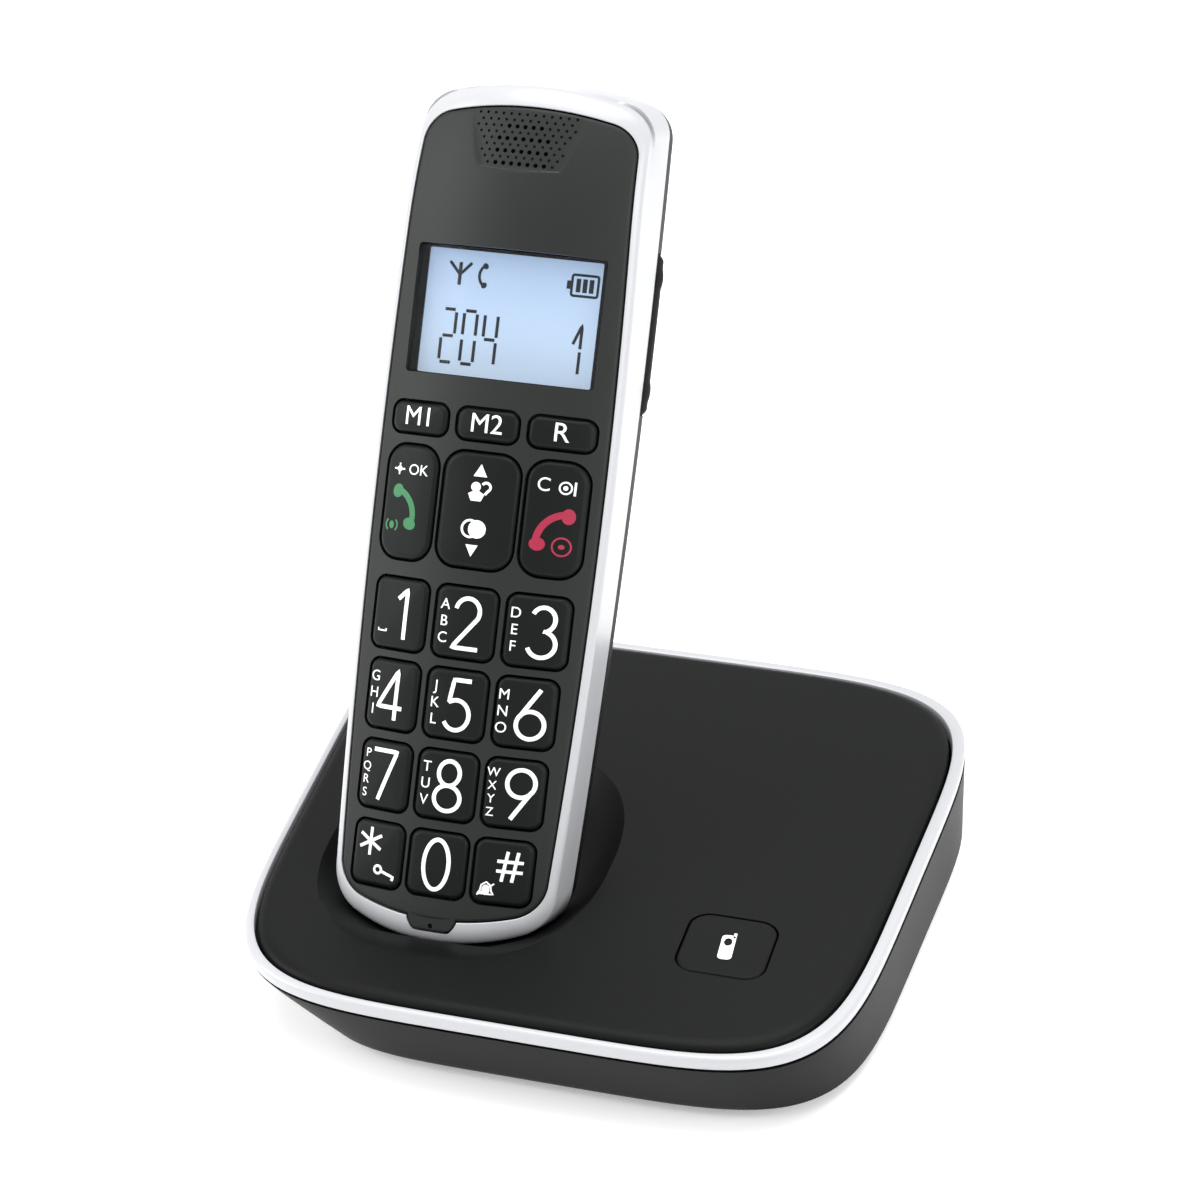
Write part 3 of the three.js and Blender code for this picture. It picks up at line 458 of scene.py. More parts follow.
# %% Moulded plastics
def moulded(name, colour, roughness, grain=3400, depth=0.012, mottle=0.10, **constants):
    """Plastic with a fine moulded grain, a little cloudy in colour and gloss."""
    finish = Finish(name, colour, roughness, **constants)
    cloud = finish.noise(45, 3.0)
    fine = finish.noise(grain, 2.0, 0.6)
    finish.set(
        Base_Color=finish.mix(cloud, lighter(finish.colour, 1 - mottle), lighter(finish.colour, 1 + mottle)),
        Roughness=roughness - 0.05 + 0.06 * cloud + 0.06 * fine,
        Normal=finish.bump(fine, depth))
    return finish


DULL = 0.2  # specular level of spark-eroded plastic
FACE = moulded("face_plastic", shade(34, 36, 35), 0.46, Specular_IOR_Level=DULL)
KEY = moulded("key_plastic", shade(18, 20, 20), 0.42, grain=4200, depth=0.008, Specular_IOR_Level=0.12)
BASE = moulded("base_plastic", shade(13, 14, 14), 0.44, Specular_IOR_Level=0.1)
BACK = moulded("back_plastic", shade(19, 20, 20), 0.5, Specular_IOR_Level=0.12)
SOCKET = moulded("socket_plastic", shade(22, 22, 23), 0.5, grain=2600, Specular_IOR_Level=DULL)
RUBBER = moulded("rubber", shade(26, 26, 26), 0.85, grain=1500, depth=0.03, Specular_IOR_Level=DULL)
BOARD = moulded("circuit_board", shade(31, 107, 69), 0.5, grain=900)
WRAP = moulded("cell_wrap", shade(47, 143, 91), 0.32, grain=500, depth=0.01)
print("moulded finishes:", FACE.material.name, KEY.material.name, BASE.material.name)

# %% Bright trim
SILVER = moulded("silver_trim", shade(174, 175, 178), 0.3, grain=1600, depth=0.003, mottle=0.02,
                 Coat_Weight=0.15, Coat_Roughness=0.12)
print("bright trim made")


# %% Metals
def brushed(name, colour, roughness, stretch=2400):
    """Metal with fine turning marks and a few dull spots."""
    finish = Finish(name, colour, roughness, metallic=1.0)
    marks = finish.noise(stretch, 4.0, 0.7)
    dull = finish.noise(260, 2.0)
    finish.set(Roughness=roughness - 0.06 + 0.16 * dull + 0.08 * marks,
               Base_Color=finish.mix(dull, lighter(finish.colour, 0.86), lighter(finish.colour, 1.05)),
               Normal=finish.bump(marks, 0.006))
    return finish


STEEL = brushed("steel", shade(190, 192, 195), 0.3)
GOLD = brushed("contact_metal", shade(226, 190, 112), 0.24)


# %% Printed legends
def printed(name, colour):
    """Screen-printed ink, a little uneven."""
    finish = Finish(name, colour, 0.5)
    speck = finish.noise(2600, 3.0)
    finish.set(Base_Color=finish.mix(speck, lighter(finish.colour, 0.9), lighter(finish.colour, 1.08)),
               Roughness=0.42 + 0.14 * speck)
    return finish


WHITE_INK = printed("white_ink", shade(236, 238, 237))
GREEN_INK = printed("green_ink", shade(26, 108, 58))
RED_INK = printed("red_ink", shade(148, 16, 54))
LCD_INK = printed("display_mark", shade(18, 26, 38))
print("inks made")

# %% Display and its window
CLEAR = Finish("clear_window", (0.02, 0.02, 0.02), 0.06, Alpha=0.08, Specular_IOR_Level=0.3)
CLEAR.set(Roughness=0.04 + 0.05 * CLEAR.noise(120))
glass_low = (docked @ Vector((0, WINDOW_LOW, -DISPLAY_DEPTH))).z
glass_high = (docked @ Vector((0, WINDOW_HIGH, -DISPLAY_DEPTH))).z
GLASS = Finish("display_glass", shade(196, 217, 240), 0.3, Emission_Strength=0.5)
# The panel's colour ramps with height and is bluer towards its upper edge. The upper colour is brightened
# more as painted light, which offsets the shade that the well's upper wall casts on the panel.
rise = (GLASS.height("Z") - glass_low) * (1 / (glass_high - glass_low))
backlight_and_painted_lift = GLASS.mix(rise + 0.12 * GLASS.noise(60), lighter(shade(200, 221, 243), 0.68),
                 lighter(shade(176, 202, 234), 0.8))
GLASS.set(Base_Color=backlight_and_painted_lift, Emission_Color=backlight_and_painted_lift)
WELL = moulded("display_well", shade(12, 13, 17), 0.4, grain=2600, Specular_IOR_Level=DULL)
print("display lit from", round(glass_low, 4), "to", round(glass_high, 4))

# %% [markdown]
# ## Putting a piece in place
# A piece is finished when its mesh is in metres in the shared frame, rides on the right body, has
# its finish and stands for the CAD nodes that it replaces.

# %% Placing
made = []


def seat(obj, body, finish, stands_for=(), where=docked, angle=32):
    """Moves a millimetre mesh into the frame, dresses it and hands it to its body."""
    obj.data.transform(where)
    obj.data.materials.clear()
    obj.data.materials.append(finish.material)
    smooth(obj, angle)
    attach(obj, body)
    if stands_for:
        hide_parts(*stands_for)
    made.append(obj.name)
    print(obj.name, "faces", len(obj.data.polygons))
    return obj


def level(obj):
    """Weighs normals by area, so that broad flat faces next to small ones stay flat."""
    only(obj)
    modifier = obj.modifiers.new("level", "WEIGHTED_NORMAL")
    modifier.keep_sharp = True
    bpy.ops.object.modifier_apply(modifier=modifier.name)
    return obj


# %% [markdown]
# ## The base's top cover
# The cover is one moulding: a flat plate with a rolled edge, an oval dish round the handset's foot,
# and below it the pocket that the handset stands in. The plate and the dish could be one sculpted
# sheet. Cutting the dish out of the plate keeps the crisp edge at its back and lets the front fade.

# %% Dish and pocket shapes
DISH_POINTS = 120


def dish_ring(share, height=None, deeper=0.0, grow=0.0):
    """One oval of the dish: a share of its full size, at its own depth or a given height."""
    ring = []
    power = 2 / DISH_SQUARENESS
    for i in range(DISH_POINTS):
        angle = 2 * math.pi * i / DISH_POINTS
        x = math.copysign(abs(math.cos(angle)) ** power, math.cos(angle))
        y = math.copysign(abs(math.sin(angle)) ** power, math.sin(angle))
        ramp = min(1.0, max(0.03, (y * share * DISH_HALF_DEPTH + DISH_HALF_DEPTH + 1) / 33))
        floor = DISH_DEPTH * ramp * (1 - share ** 5) + deeper
        ring.append((HANDSET_AT.x + x * share * (DISH_HALF_WIDTH + grow),
                     HANDSET_AT.y + y * share * (DISH_HALF_DEPTH + grow),
                     PLATE_TOP - floor if height is None else height))
    return ring


def dish_solid(name, deeper=0.0, grow=0.0):
    shares = [0.08, 0.2, 0.32, 0.44, 0.55, 0.64, 0.72, 0.79, 0.85, 0.9, 0.94, 0.97, 1.0]
    rings = [dish_ring(share, deeper=deeper, grow=grow) for share in shares]
    top = PLATE_TOP + 4 if grow == 0 else PLATE_TOP - 0.4
    return stack(name, [*rings, dish_ring(1.0, height=top, grow=grow)])


HEEL_ROUND, HEAD_ROUND, BACK_ROUND = 9.0, 6.0, 5.0


def rounding(depth, radius, thickness=THICKNESS):
    """How far a rounded back edge is drawn in at a depth."""
    past = depth - (thickness - radius)
    return 0.0 if past <= 0 else radius - math.sqrt(max(0.0, radius ** 2 - past ** 2))


def handset_level(depth, grow=0.0, body=BODY_BACK):
    """The handset's outline at a depth behind its face, grown all round."""
    past = min(depth, THICKNESS)
    return outline(drawn_in(rounding(past, BACK_ROUND) - grow, rounding(past, HEEL_ROUND) - grow,
                            rounding(past, HEAD_ROUND) - grow, body=body))


def foot_solid(name, grow):
    """The room of the handset's foot, grown by a gap."""
    depths = [27, 26.6, 26, 25, 24, 22.5, 21, 19.5, 18, 12, 0]
    rings = [at(handset_level(d, grow, BODY), -d - grow if d == 27 else -d) for d in depths]
    obj = stack(name, [*rings, at(handset_level(0, grow, BODY), grow)])
    obj.data.transform(Matrix.Scale(1 / MM, 4) @ docked)
    return obj


# %% Moulding the top cover
SKIRT_LOW = RIM_LOW
PLATE_EDGE, PLATE_ROLL = 2.4, 1.5  # the rolled edge, across and down
COVER_SHELL = 2.0
edge = RIM_WIDTH + GROOVE


def plate_rings(inwards, down, low):
    """Skirt, rolled edge and flat top, drawn in and lowered."""
    turns = [(1 - math.cos(math.radians(a)), 1 - math.sin(math.radians(a))) for a in range(0, 91, 15)]
    rings = [plate_ring(edge + inwards, low)]
    for inn, drop in turns:
        rings.append(plate_ring(edge + inwards + PLATE_EDGE * inn, PLATE_TOP - down - PLATE_ROLL * drop))
    rings.append(plate_ring(edge + inwards + PLATE_EDGE + 1.5, PLATE_TOP - down))
    return rings


top_cover = stack("base_top_moulding", plate_rings(0, 0, SKIRT_LOW))
carve(top_cover, stack("hollow", plate_rings(COVER_SHELL, COVER_SHELL, SKIRT_LOW - 1)))
trim = slab("trim", rounded(-80, 80, -80, 80, 5), 0, PLATE_TOP - 0.3)
cup = carve(foot_solid("cup", 2.4), trim, "INTERSECT")
carve(top_cover, dish_solid("dish_wall", deeper=1.8, grow=1.8), "UNION")
carve(top_cover, cup, "UNION")
carve(top_cover, dish_solid("dish"))
carve(top_cover, foot_solid("pocket", 0.6))
page_low, page_high = (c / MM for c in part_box("page_button"))
PAGE = ((page_low.x + page_high.x) / 2, (page_low.y + page_high.y) / 2)
PAGE_HALF = (8.5, 9.0)


def page_outline(grow):
    return rounded(PAGE[0] - PAGE_HALF[0] - grow, PAGE[0] + PAGE_HALF[0] + grow,
                   PAGE[1] - PAGE_HALF[1] - grow, PAGE[1] + PAGE_HALF[1] + grow, 4 + grow, 10)


carve(top_cover, slab("page_hole", page_outline(0.35), 5, 40))
tidy(top_cover, 1e-4)
level(smooth(seat(top_cover, "base", BASE, ["base_top_cover"], upright), 32))

# %% [markdown]
# ## Rim, housing and page button
# The rim is a bright ring that caps the joint between the two halves of the base. The housing below
# is drawn in towards its underside, so the base seems to float on its feet.

# %% Rim
RIM_ROUND = 0.9
round_over = [(RIM_ROUND * (1 - math.cos(math.radians(a))), RIM_ROUND * (1 - math.sin(math.radians(a))))
              for a in range(0, 91, 15)]
rim_rows = [plate_ring(RIM_WIDTH, RIM_LOW), base_ring(0.5, RIM_LOW), base_ring(0.12, RIM_LOW + 0.4)]
rim_rows += [base_ring(inn, RIM_TOP - drop) for inn, drop in round_over]
rim_rows += [plate_ring(RIM_WIDTH - 0.35, RIM_TOP), plate_ring(RIM_WIDTH - 0.1, RIM_TOP - 0.12),
             plate_ring(RIM_WIDTH, RIM_TOP - 0.4)]
rim = skin("base_rim_band", [*rim_rows, rim_rows[0]])
seat(rim, "base", SILVER, ["base_rim"], upright)

# %% Lower housing
HOUSING_TOP = RIM_LOW - 0.3


def housing_rings(inwards, bottom, top):
    """Rings of the housing from its underside up."""
    rings = [base_ring(inwards + 1.3, bottom, 1.0), base_ring(inwards + 0.5, bottom + 0.15, 0.97)]
    for i in range(13):
        share = i / 12
        z = bottom + 0.6 + (HOUSING_TOP - bottom - 0.6) * share
        rings.append(base_ring(inwards, z, 0.03 + 0.92 * (1 - share) ** 1.05))
    rings.append(base_ring(inwards, top, 0.03))
    return rings


BAY_WALL, BAY_LEFT, BAY_RIGHT = 58.0, 8.0, 46.0
BAY_ROOF = SKIRT_LOW - 0.3
line_low, line_high = (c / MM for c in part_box("line_socket"))
power_low, power_high = (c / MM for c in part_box("power_socket"))
housing = stack("base_housing", housing_rings(0, FLOOR, HOUSING_TOP + 0.01))
room = stack("room", housing_rings(2.0, FLOOR + 2, HOUSING_TOP + 2))
carve(room, slab("bay_wall", rounded(BAY_LEFT - 2, BAY_RIGHT + 2, BAY_WALL - 2, 90, 0.3), 0, BAY_ROOF))
carve(housing, room)
carve(housing, slab("bay", rounded(BAY_LEFT, BAY_RIGHT, BAY_WALL, 90, 0.8), 0, BAY_ROOF - 1.5))
line_x = (line_low.x + line_high.x) / 2
power_x = (power_low.x + power_high.x) / 2
power_z = power_low.z + 5.4
carve(housing, slab("line_mouth", rounded(line_x - 5.5, line_x + 5.5, BAY_WALL - 3, 70, 0.3),
                    line_low.z + 1.6, line_low.z + 9.2))
bpy.ops.object.select_all(action="DESELECT")
bpy.ops.mesh.primitive_cylinder_add(vertices=40, radius=3.4, depth=20, rotation=(math.pi / 2, 0, 0),
                                    location=(power_x, BAY_WALL + 5, power_z))
bpy.ops.object.transform_apply(location=True, rotation=True, scale=True)
carve(housing, bpy.context.object)
feet = [name for name in nodes if name.startswith("foot_")]
screws = [name for name in nodes if name.startswith("base_screw_")]
for name, radius, top in [*((n, 5.3, FLOOR + 0.7) for n in feet), *((n, 3.2, 5.8) for n in screws)]:
    low, high = (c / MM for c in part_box(name))
    centre = (low + high) / 2
    carve(housing, slab("seat_" + name, circle(centre.x, centre.y, radius, 40), 0, top))
tidy(housing, 1e-4)
level(smooth(seat(housing, "base", BASE, ["base_bottom_cover"], upright), 32))

# %% Page button
page_top = page_high.z
rings = [at(page_outline(g), z) for g, z in ((1.0, page_low.z), (1.0, page_low.z + 1.4),
                                             (0.0, page_low.z + 1.41), (0.0, page_top - 0.5))]
for a in range(15, 91, 15):
    inn = 0.6 * (1 - math.cos(math.radians(a)))
    rings.append(at(page_outline(-inn), page_top - 0.5 + 0.5 * math.sin(math.radians(a))))
for inn, dip in ((1.6, 0.02), (3.0, 0.1), (4.0, 0.16)):
    rings.append(at(page_outline(-inn), page_top - dip))
page = stack("page_button_cap", rings)
stem = slab("stem", circle(*PAGE, 2.4, 32),
            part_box("page_switch")[1].z / MM + 1.6, page_low.z + 0.01)
page = joined("page_button_cap", [page, stem])
level(smooth(seat(page, "page_button", BASE, ["page_button"], upright), 32))

# %% [markdown]
# ## The handset's bright frame
# The frame wraps the handset's sides and shows as a thin band beside the face and a wide lip at its
# two ends. One swept skin makes it: up the outside, over the rounded lip, down into the opening and
# back along the inner wall. The lip is narrow at the sides and wide at the ends, so every ring blends
# between two amounts by the outline's end share.

# %% Moulding the frame
PANEL_SIDE, PANEL_END = FRAME_WALL + GAP, END_LIP + GAP


def blended(one, other):
    """Amounts that go from one at the sides to another at the ends."""
    return [one + (other - one) * share for share in END_SHARE]


def morph(first, second, share):
    return [(a[0] + (b[0] - a[0]) * share, a[1] + (b[1] - a[1]) * share) for a, b in zip(first, second)]


outer, outer_back = outline(BODY), outline(BODY_BACK)
lip_edge = outline(drawn_in(FRAME_WALL, END_LIP, flatter=END_FLATTER))
inner = outline(drawn_in(FRAME_WALL))
frame_rows = [at(outline(drawn_in(FRAME_WALL, body=BODY_BACK)), -FRAME_BACK), at(outer_back, -FRAME_BACK)]
frame_rows += [at(morph(outer_back, outer, s), -FRAME_BACK + s * (FRAME_BACK - 9)) for s in (0.35, 0.7)]
lip_drop = blended(1.0, 2.6)
frame_rows.append(on_face(morph(outer_back, outer, 0.96), [d + 1.2 for d in lip_drop]))
for a in range(0, 91, 15):
    turn = math.radians(a)
    frame_rows.append(on_face(morph(outer, lip_edge, 0.82 * (1 - math.cos(turn))),
                              [d * (1 - math.sin(turn)) for d in lip_drop]))
frame_rows.append(on_face(morph(outer, lip_edge, 0.96), 0.0))
frame_rows.append(on_face(lip_edge, 0.12))
frame_rows.append(on_face(lip_edge, 1.5))
frame_rows.append(on_face(inner, 1.9))
frame_rows.append(at(inner, -FRAME_BACK + 4))
band = skin("handset_frame_band", [*frame_rows, frame_rows[0]])


def tab_outline(grow):
    """The face's small tab in the lower lip, where the microphone sits."""
    low = BODY["bottom"] + PANEL_END
    right = [(4.9 + grow, low + 2), (4.75 + grow, low - 0.3), (4.4 + grow, low - 1.1),
             (3.95 + grow, low - 1.75), (3.35 + grow, low - 2.15 - grow), (2.6 + grow, low - 2.3 - grow)]
    return [(-x, y) for x, y in right] + right[::-1]


carve(band, slab("tab_notch", tab_outline(GAP), -8, 3))
PAD_ASIDE, PAD_BACK, PAD_HALF = 9.0, -11.5, 2.8
for middle in (-PAD_ASIDE, PAD_ASIDE):
    window = rounded(middle - PAD_HALF, middle + PAD_HALF, BODY["bottom"] - 2, BODY["bottom"] + 4.5, 0.3)
    carve(band, slab("contact_window", window, PAD_BACK - PAD_HALF, PAD_BACK + PAD_HALF))
level(smooth(seat(band, "handset", SILVER, ["handset_frame"]), 34))

# %% [markdown]
# ## The face
# The face panel is a shell that follows the curve across the handset and rolls back at the top. It is
# cut for the keys, the display window and the earpiece. Rings that start at its outline and close on
# the middle line keep the edge even and the curve smooth.

# %% Keys' places
KEY_GAP = 0.45
# low, high, near and far edge of the outer keys round the face, half width of the middle key, corner
KEY_ROWS = (
    (35.3, 41.3, 8.1, 21.1, 6.1, 2.0, ("key_m1", "key_m2", "key_r")),
    (11.0, 33.0, 8.9, 21.0, 7.6, 4.0, ("key_talk", "key_navigate", "key_end")),
    (-6.4, 7.3, 7.9, 20.3, 6.1, 2.0, ("key_1", "key_2", "key_3")),
    (-21.9, -8.6, 7.8, 19.5, 6.0, 2.0, ("key_4", "key_5", "key_6")),
    (-37.4, -24.3, 7.55, 19.1, 5.9, 2.0, ("key_7", "key_8", "key_9")),
    (-52.3, -39.9, 7.2, 18.6, 5.75, 2.0, ("key_star", "key_0", "key_hash")),
)


def flat(round_):
    """Distance across the handset of a point this far round the face."""
    return FACE_RADIUS * math.sin(round_ / FACE_RADIUS)


KEYS = {}
for low, high, near, far, centre, corner, names in KEY_ROWS:
    for name, (x0, x1) in zip(names, ((-far, -near), (-centre, centre), (near, far))):
        KEYS[name] = (flat(x0), flat(x1), low, high, corner)


def key_outline(key, grow):
    x0, x1, y0, y1, corner = key
    return rounded(x0 - grow, x1 + grow, y0 - grow, y1 + grow, max(0.3, corner + grow), 7)


def middle_of(key):
    return (key[0] + key[1]) / 2, (key[2] + key[3]) / 2


print("keys placed:", len(KEYS))

# %% Moulding the face panel
PANEL_DEEP, PANEL_ROUND = -9.7, 0.55
SPINE_STEPS = 22


def panel_outline(side):
    return outline(drawn_in(PANEL_SIDE + side, PANEL_END + side, flatter=END_FLATTER))


base_line = panel_outline(1.0)
inside = panel_outline(COVER_WALL)
panel_rows = [on_face(towards_spine(inside, 1.0), COVER_WALL)]
panel_rows += [on_face(towards_spine(inside, s), COVER_WALL) for s in (0.75, 0.5, 0.25, 0.08, 0.0)]
panel_rows += [at(inside, PANEL_DEEP), at(panel_outline(0), PANEL_DEEP)]
for a in range(0, 91, 18):
    turn = math.radians(a)
    panel_rows.append(on_face(panel_outline(PANEL_ROUND * (1 - math.cos(turn))),
                              PANEL_ROUND * (1 - math.sin(turn))))
panel_rows += [on_face(towards_spine(base_line, s / SPINE_STEPS), 0.0) for s in range(SPINE_STEPS + 1)]
panel = skin("handset_face", panel_rows)
tab = stack("tab", [at(tab_outline(0), -5.5),
                    *[on_face(tab_outline(-g), d) for g, d in ((0, 0.35), (0.1, 0.1), (0.35, 0.0))]])
carve(panel, tab, "UNION")
cutters = [slab("hole", key_outline(key, KEY_GAP), -12, 4) for key in KEYS.values()]
cutters.append(slab("hole", rounded(-WINDOW_HALF, WINDOW_HALF, WINDOW_LOW, WINDOW_HIGH, 0.8), -12, 3))
carve(panel, joined("holes", cutters))

# %% [markdown]
# ## Earpiece grille
# The grille is a shallow funnel with rows of small holes. Every other row goes right through in the
# middle, and the rest are small and shallow, which makes the pattern fade. A texture could draw
# them, but real holes catch the light properly from every side.

# %% Grille
FUNNEL_LOW, FUNNEL_HIGH, FUNNEL_DEPTH = 87.2, 98.4, 0.26


def sunk_grid():
    """A shallow tray that follows the face, as a solid to cut with."""
    layers = [(-2.0, 1.0), (0.0, 1.0), *((FUNNEL_DEPTH, share) for share in (0.93, 0.8, 0.6, 0.4, 0.2, 0.0))]
    rows = [[place_in_funnel(u * share, v * share, drop) for u, v in square_ring(24, 16)]
            for drop, share in layers]
    rows.insert(0, point_row(rows[0]))
    return skin("funnel", rows)


def place_in_funnel(u, v, drop):
    tall = (v + 1) / 2
    y = FUNNEL_LOW + (FUNNEL_HIGH - FUNNEL_LOW) * tall - 0.5 * (1 - u * u) * (1 - tall)
    x = u * (8.2 + 3.4 * max(0.0, tall) ** 0.8)
    fade = 1.0 if drop <= 0 else max(0.12, min(1.0, 2.2 * (1 - tall)))
    return (x, y, face_height(x, y) - drop * fade)


carve(panel, sunk_grid())
HOLE_PITCH, HOLE_ROW = 1.6, 1.2
LAST_THROUGH = 6
holes = []
for row in range(9):
    y = FUNNEL_LOW + 0.9 + HOLE_ROW * row
    for column in range(-6, 7):
        x = HOLE_PITCH * (column + 0.5 * (row % 2))
        if abs(x) > 7.6 + 0.36 * row:
            continue
        # every other row goes right through in the middle, with fewer holes in the last such row
        reach = 3.6 if row == LAST_THROUGH else 5.2
        through = row % 2 == 0 and row <= LAST_THROUGH and abs(x) < reach
        radius = 0.44 if through else 0.3
        depth = 4.0 if through else 0.4
        z = face_height(x, y)
        holes.append(slab("hole", circle(x, y, radius, 10), z - FUNNEL_DEPTH - depth, z + 1))
carve(panel, joined("grille", holes))
carve(panel, slab("hole", circle(0, BODY["bottom"] + 3.3, 0.5, 12), -9, 3))
tidy(panel, 1e-4)
level(smooth(seat(panel, "handset", FACE, ["handset_front_cover"]), 30))
print("grille holes:", len(holes))

# %% [markdown]
# ## Keys
# Each key is a cap that follows the face half a millimetre proud of it, with a rolled edge and a very
# slight crown, on a flange that keeps it from falling out. All eighteen come from one function.

# %% Key caps
KEY_ROLL = 0.95
FLANGE_LOW, FLANGE_TOP, FLANGE_REACH = -8.7, -7.95, 17.8


def crown(key, x, y):
    """Extra height of a key's slightly domed top."""
    x0, x1, y0, y1, _ = key
    u, v = (2 * x - x0 - x1) / (x1 - x0), (2 * y - y0 - y1) / (y1 - y0)
    return 0.28 * max(0.0, 1 - u * u) * max(0.0, 1 - v * v)


def key_top(key, x, y):
    return face_height(x, y) + KEY_PROUD - 0.1 + crown(key, x, y)


def key_cap(name, key):
    """One key, from its flange up. The flange stops short of the handset's side walls."""
    middle_x, middle_y = middle_of(key)
    flange = [(max(-FLANGE_REACH, min(FLANGE_REACH, x)), y) for x, y in key_outline(key, 0.6)]
    rows = [at(flange, FLANGE_LOW), at(flange, FLANGE_TOP), at(key_outline(key, 0), FLANGE_TOP + 0.01)]
    for a in range(0, 91, 15):
        turn = math.radians(a)
        ring = key_outline(key, -KEY_ROLL * (1 - math.cos(turn)))
        rows.append([(x, y, key_top(key, x, y) - (1 - math.sin(turn))) for x, y in ring])
    last = key_outline(key, -KEY_ROLL - 0.1)
    for share in (1.0, 0.85, 0.68, 0.5, 0.32, 0.15, 0.0):
        ring = [(middle_x + (x - middle_x) * share, middle_y + (y - middle_y) * share) for x, y in last]
        rows.append([(x, y, key_top(key, x, y)) for x, y in ring])
    rows.insert(0, point_row(rows[0]))
    return skin(name + "_cap", rows)


for name, key in KEYS.items():
    seat(key_cap(name, key), name, KEY, [name], angle=40)

# %% [markdown]
# ## Legends
# The digits are drawn in strokes of one width, as an engraver would, with round ends. Each stroke is a
# curve with a round bevel, made a mesh and pressed almost flat on to its key. Letters are set as text.

# %% Strokes, discs and letters
INK = 0.05
DIGIT_STROKE = 0.82


def closer(points, closed, reach=0.6):
    """The same line with points no further apart than the reach, so that it can follow a dome."""
    close = []
    for (xa, ya), (xb, yb) in zip(points, points[1:] + points[:1] if closed else points[1:]):
        steps = max(1, math.ceil(math.dist((xa, ya), (xb, yb)) / reach))
        close += [(xa + (xb - xa) * i / steps, ya + (yb - ya) * i / steps) for i in range(steps)]
    return close if closed else [*close, points[-1]]


def stroke(points, width, closed=False):
    """A flat line of one width."""
    points = closer(points, closed)
    curve = bpy.data.curves.new("stroke", "CURVE")
    curve.dimensions = "3D"
    curve.bevel_depth, curve.bevel_resolution, curve.use_fill_caps = width / 2, 2, True
    line = curve.splines.new("POLY")
    line.points.add(len(points) - 1)
    for spot, (x, y) in zip(line.points, points):
        spot.co = (x, y, 0, 1)
    line.use_cyclic_u = closed
    obj = bpy.data.objects.new("stroke", curve)
    bpy.context.scene.collection.objects.link(obj)
    only(obj)
    bpy.ops.object.convert(target="MESH")
    obj = bpy.context.object
    obj.data.transform(Matrix.Diagonal((1, 1, INK / width, 1)))
    return obj


def disc(x, y, rx, ry=None, corners=24, turn=0.0, lean=0.0):
    """A flat filled shape with equal sides, stretched and then leant over."""
    bpy.ops.object.select_all(action="DESELECT")
    bpy.ops.mesh.primitive_cylinder_add(vertices=corners, radius=1, depth=INK,
                                        rotation=(0, 0, math.radians(turn)))
    bpy.ops.object.transform_apply(location=True, rotation=True, scale=True)
    obj = bpy.context.object
    obj.data.transform(Matrix.Translation((x, y, 0)) @ Matrix.Rotation(math.radians(lean), 4, "Z")
                       @ Matrix.Diagonal((rx, ry or rx, 1, 1)))
    return obj


def lettering(text, x, y, size, spread=1.0):
    """Letters centred on a point."""
    bpy.ops.object.select_all(action="DESELECT")
    bpy.ops.object.text_add()
    obj = bpy.context.object
    obj.data.body, obj.data.size, obj.data.extrude = text, size, INK / 2
    obj.data.align_x, obj.data.align_y = "CENTER", "CENTER"
    obj.data.resolution_u, obj.data.space_character = 6, spread
    bpy.ops.object.convert(target="MESH")
    obj = bpy.context.object
    edit(obj, lambda: bpy.ops.mesh.quads_convert_to_tris(quad_method="BEAUTY", ngon_method="BEAUTY"),
         lambda: bpy.ops.mesh.subdivide(number_cuts=2))
    obj.data.transform(Matrix.Translation((x, y, 0)))
    return obj


def moved(points, x, y, size):
    return [(x + px * size, y + py * size) for px, py in points]


DIGITS = {
    "0": [(arc(0, 0.5, 0.26, 0.5, 0, 360, 36), True)],
    "1": [([(-0.13, 0.8), (0.06, 1.0), (0.06, 0.0)], False)],
    "2": [(arc(0, 0.735, 0.245, 0.265, 170, -28, 22, True) + [(-0.26, 0.0), (0.27, 0.0)], False)],
    "3": [(arc(-0.01, 0.755, 0.22, 0.245, 155, -80, 20, True)
           + arc(-0.01, 0.265, 0.265, 0.265, 80, -160, 24, True), False)],
    "4": [([(0.13, 0.0), (0.13, 1.0), (-0.28, 0.25), (0.28, 0.25)], False)],
    "5": [([(0.24, 1.0), (-0.11, 1.0), (-0.17, 0.57)]
           + arc(-0.01, 0.3, 0.265, 0.3, 122, -150, 26, True), False)],
    "6": [([(0.14, 1.0), (-0.21, 0.43)], False), (arc(0, 0.275, 0.265, 0.275, 0, 360, 32), True)],
    "7": [([(-0.26, 1.0), (0.27, 1.0), (-0.07, 0.0)], False)],
    "8": [(arc(0, 0.755, 0.215, 0.245, 0, 360, 32), True), (arc(0, 0.255, 0.265, 0.255, 0, 360, 32), True)],
    "9": [([(-0.14, 0.0), (0.21, 0.57)], False), (arc(0, 0.725, 0.265, 0.275, 0, 360, 32), True)],
}


def digit(text, x, y, height):
    """One large digit centred on a point."""
    return [stroke(moved(points, x, y - height / 2, height), DIGIT_STROKE, closed)
            for points, closed in DIGITS[text]]


def receiver(x, y, size, start, end):
    """A handset's curved outline: a bow with a thick round pad at each end."""
    parts = [stroke(arc(x, y, size, size, start, end, 18, True), 0.23 * size)]
    for angle in (start, end):
        away = math.radians(angle)
        parts.append(disc(x + 0.94 * size * math.cos(away), y + 0.94 * size * math.sin(away),
                          0.26 * size, 0.22 * size, lean=angle))
    return parts


def print_on(name, key_name, parts, ink):
    """Lays printed parts on a key's top and lets them ride with it."""
    key = KEYS[key_name]
    obj = joined(name, parts)
    for vertex in obj.data.vertices:
        x, y, z = vertex.co
        vertex.co.z = key_top(key, x, y) + z + 0.03
    return seat(obj, key_name, ink)


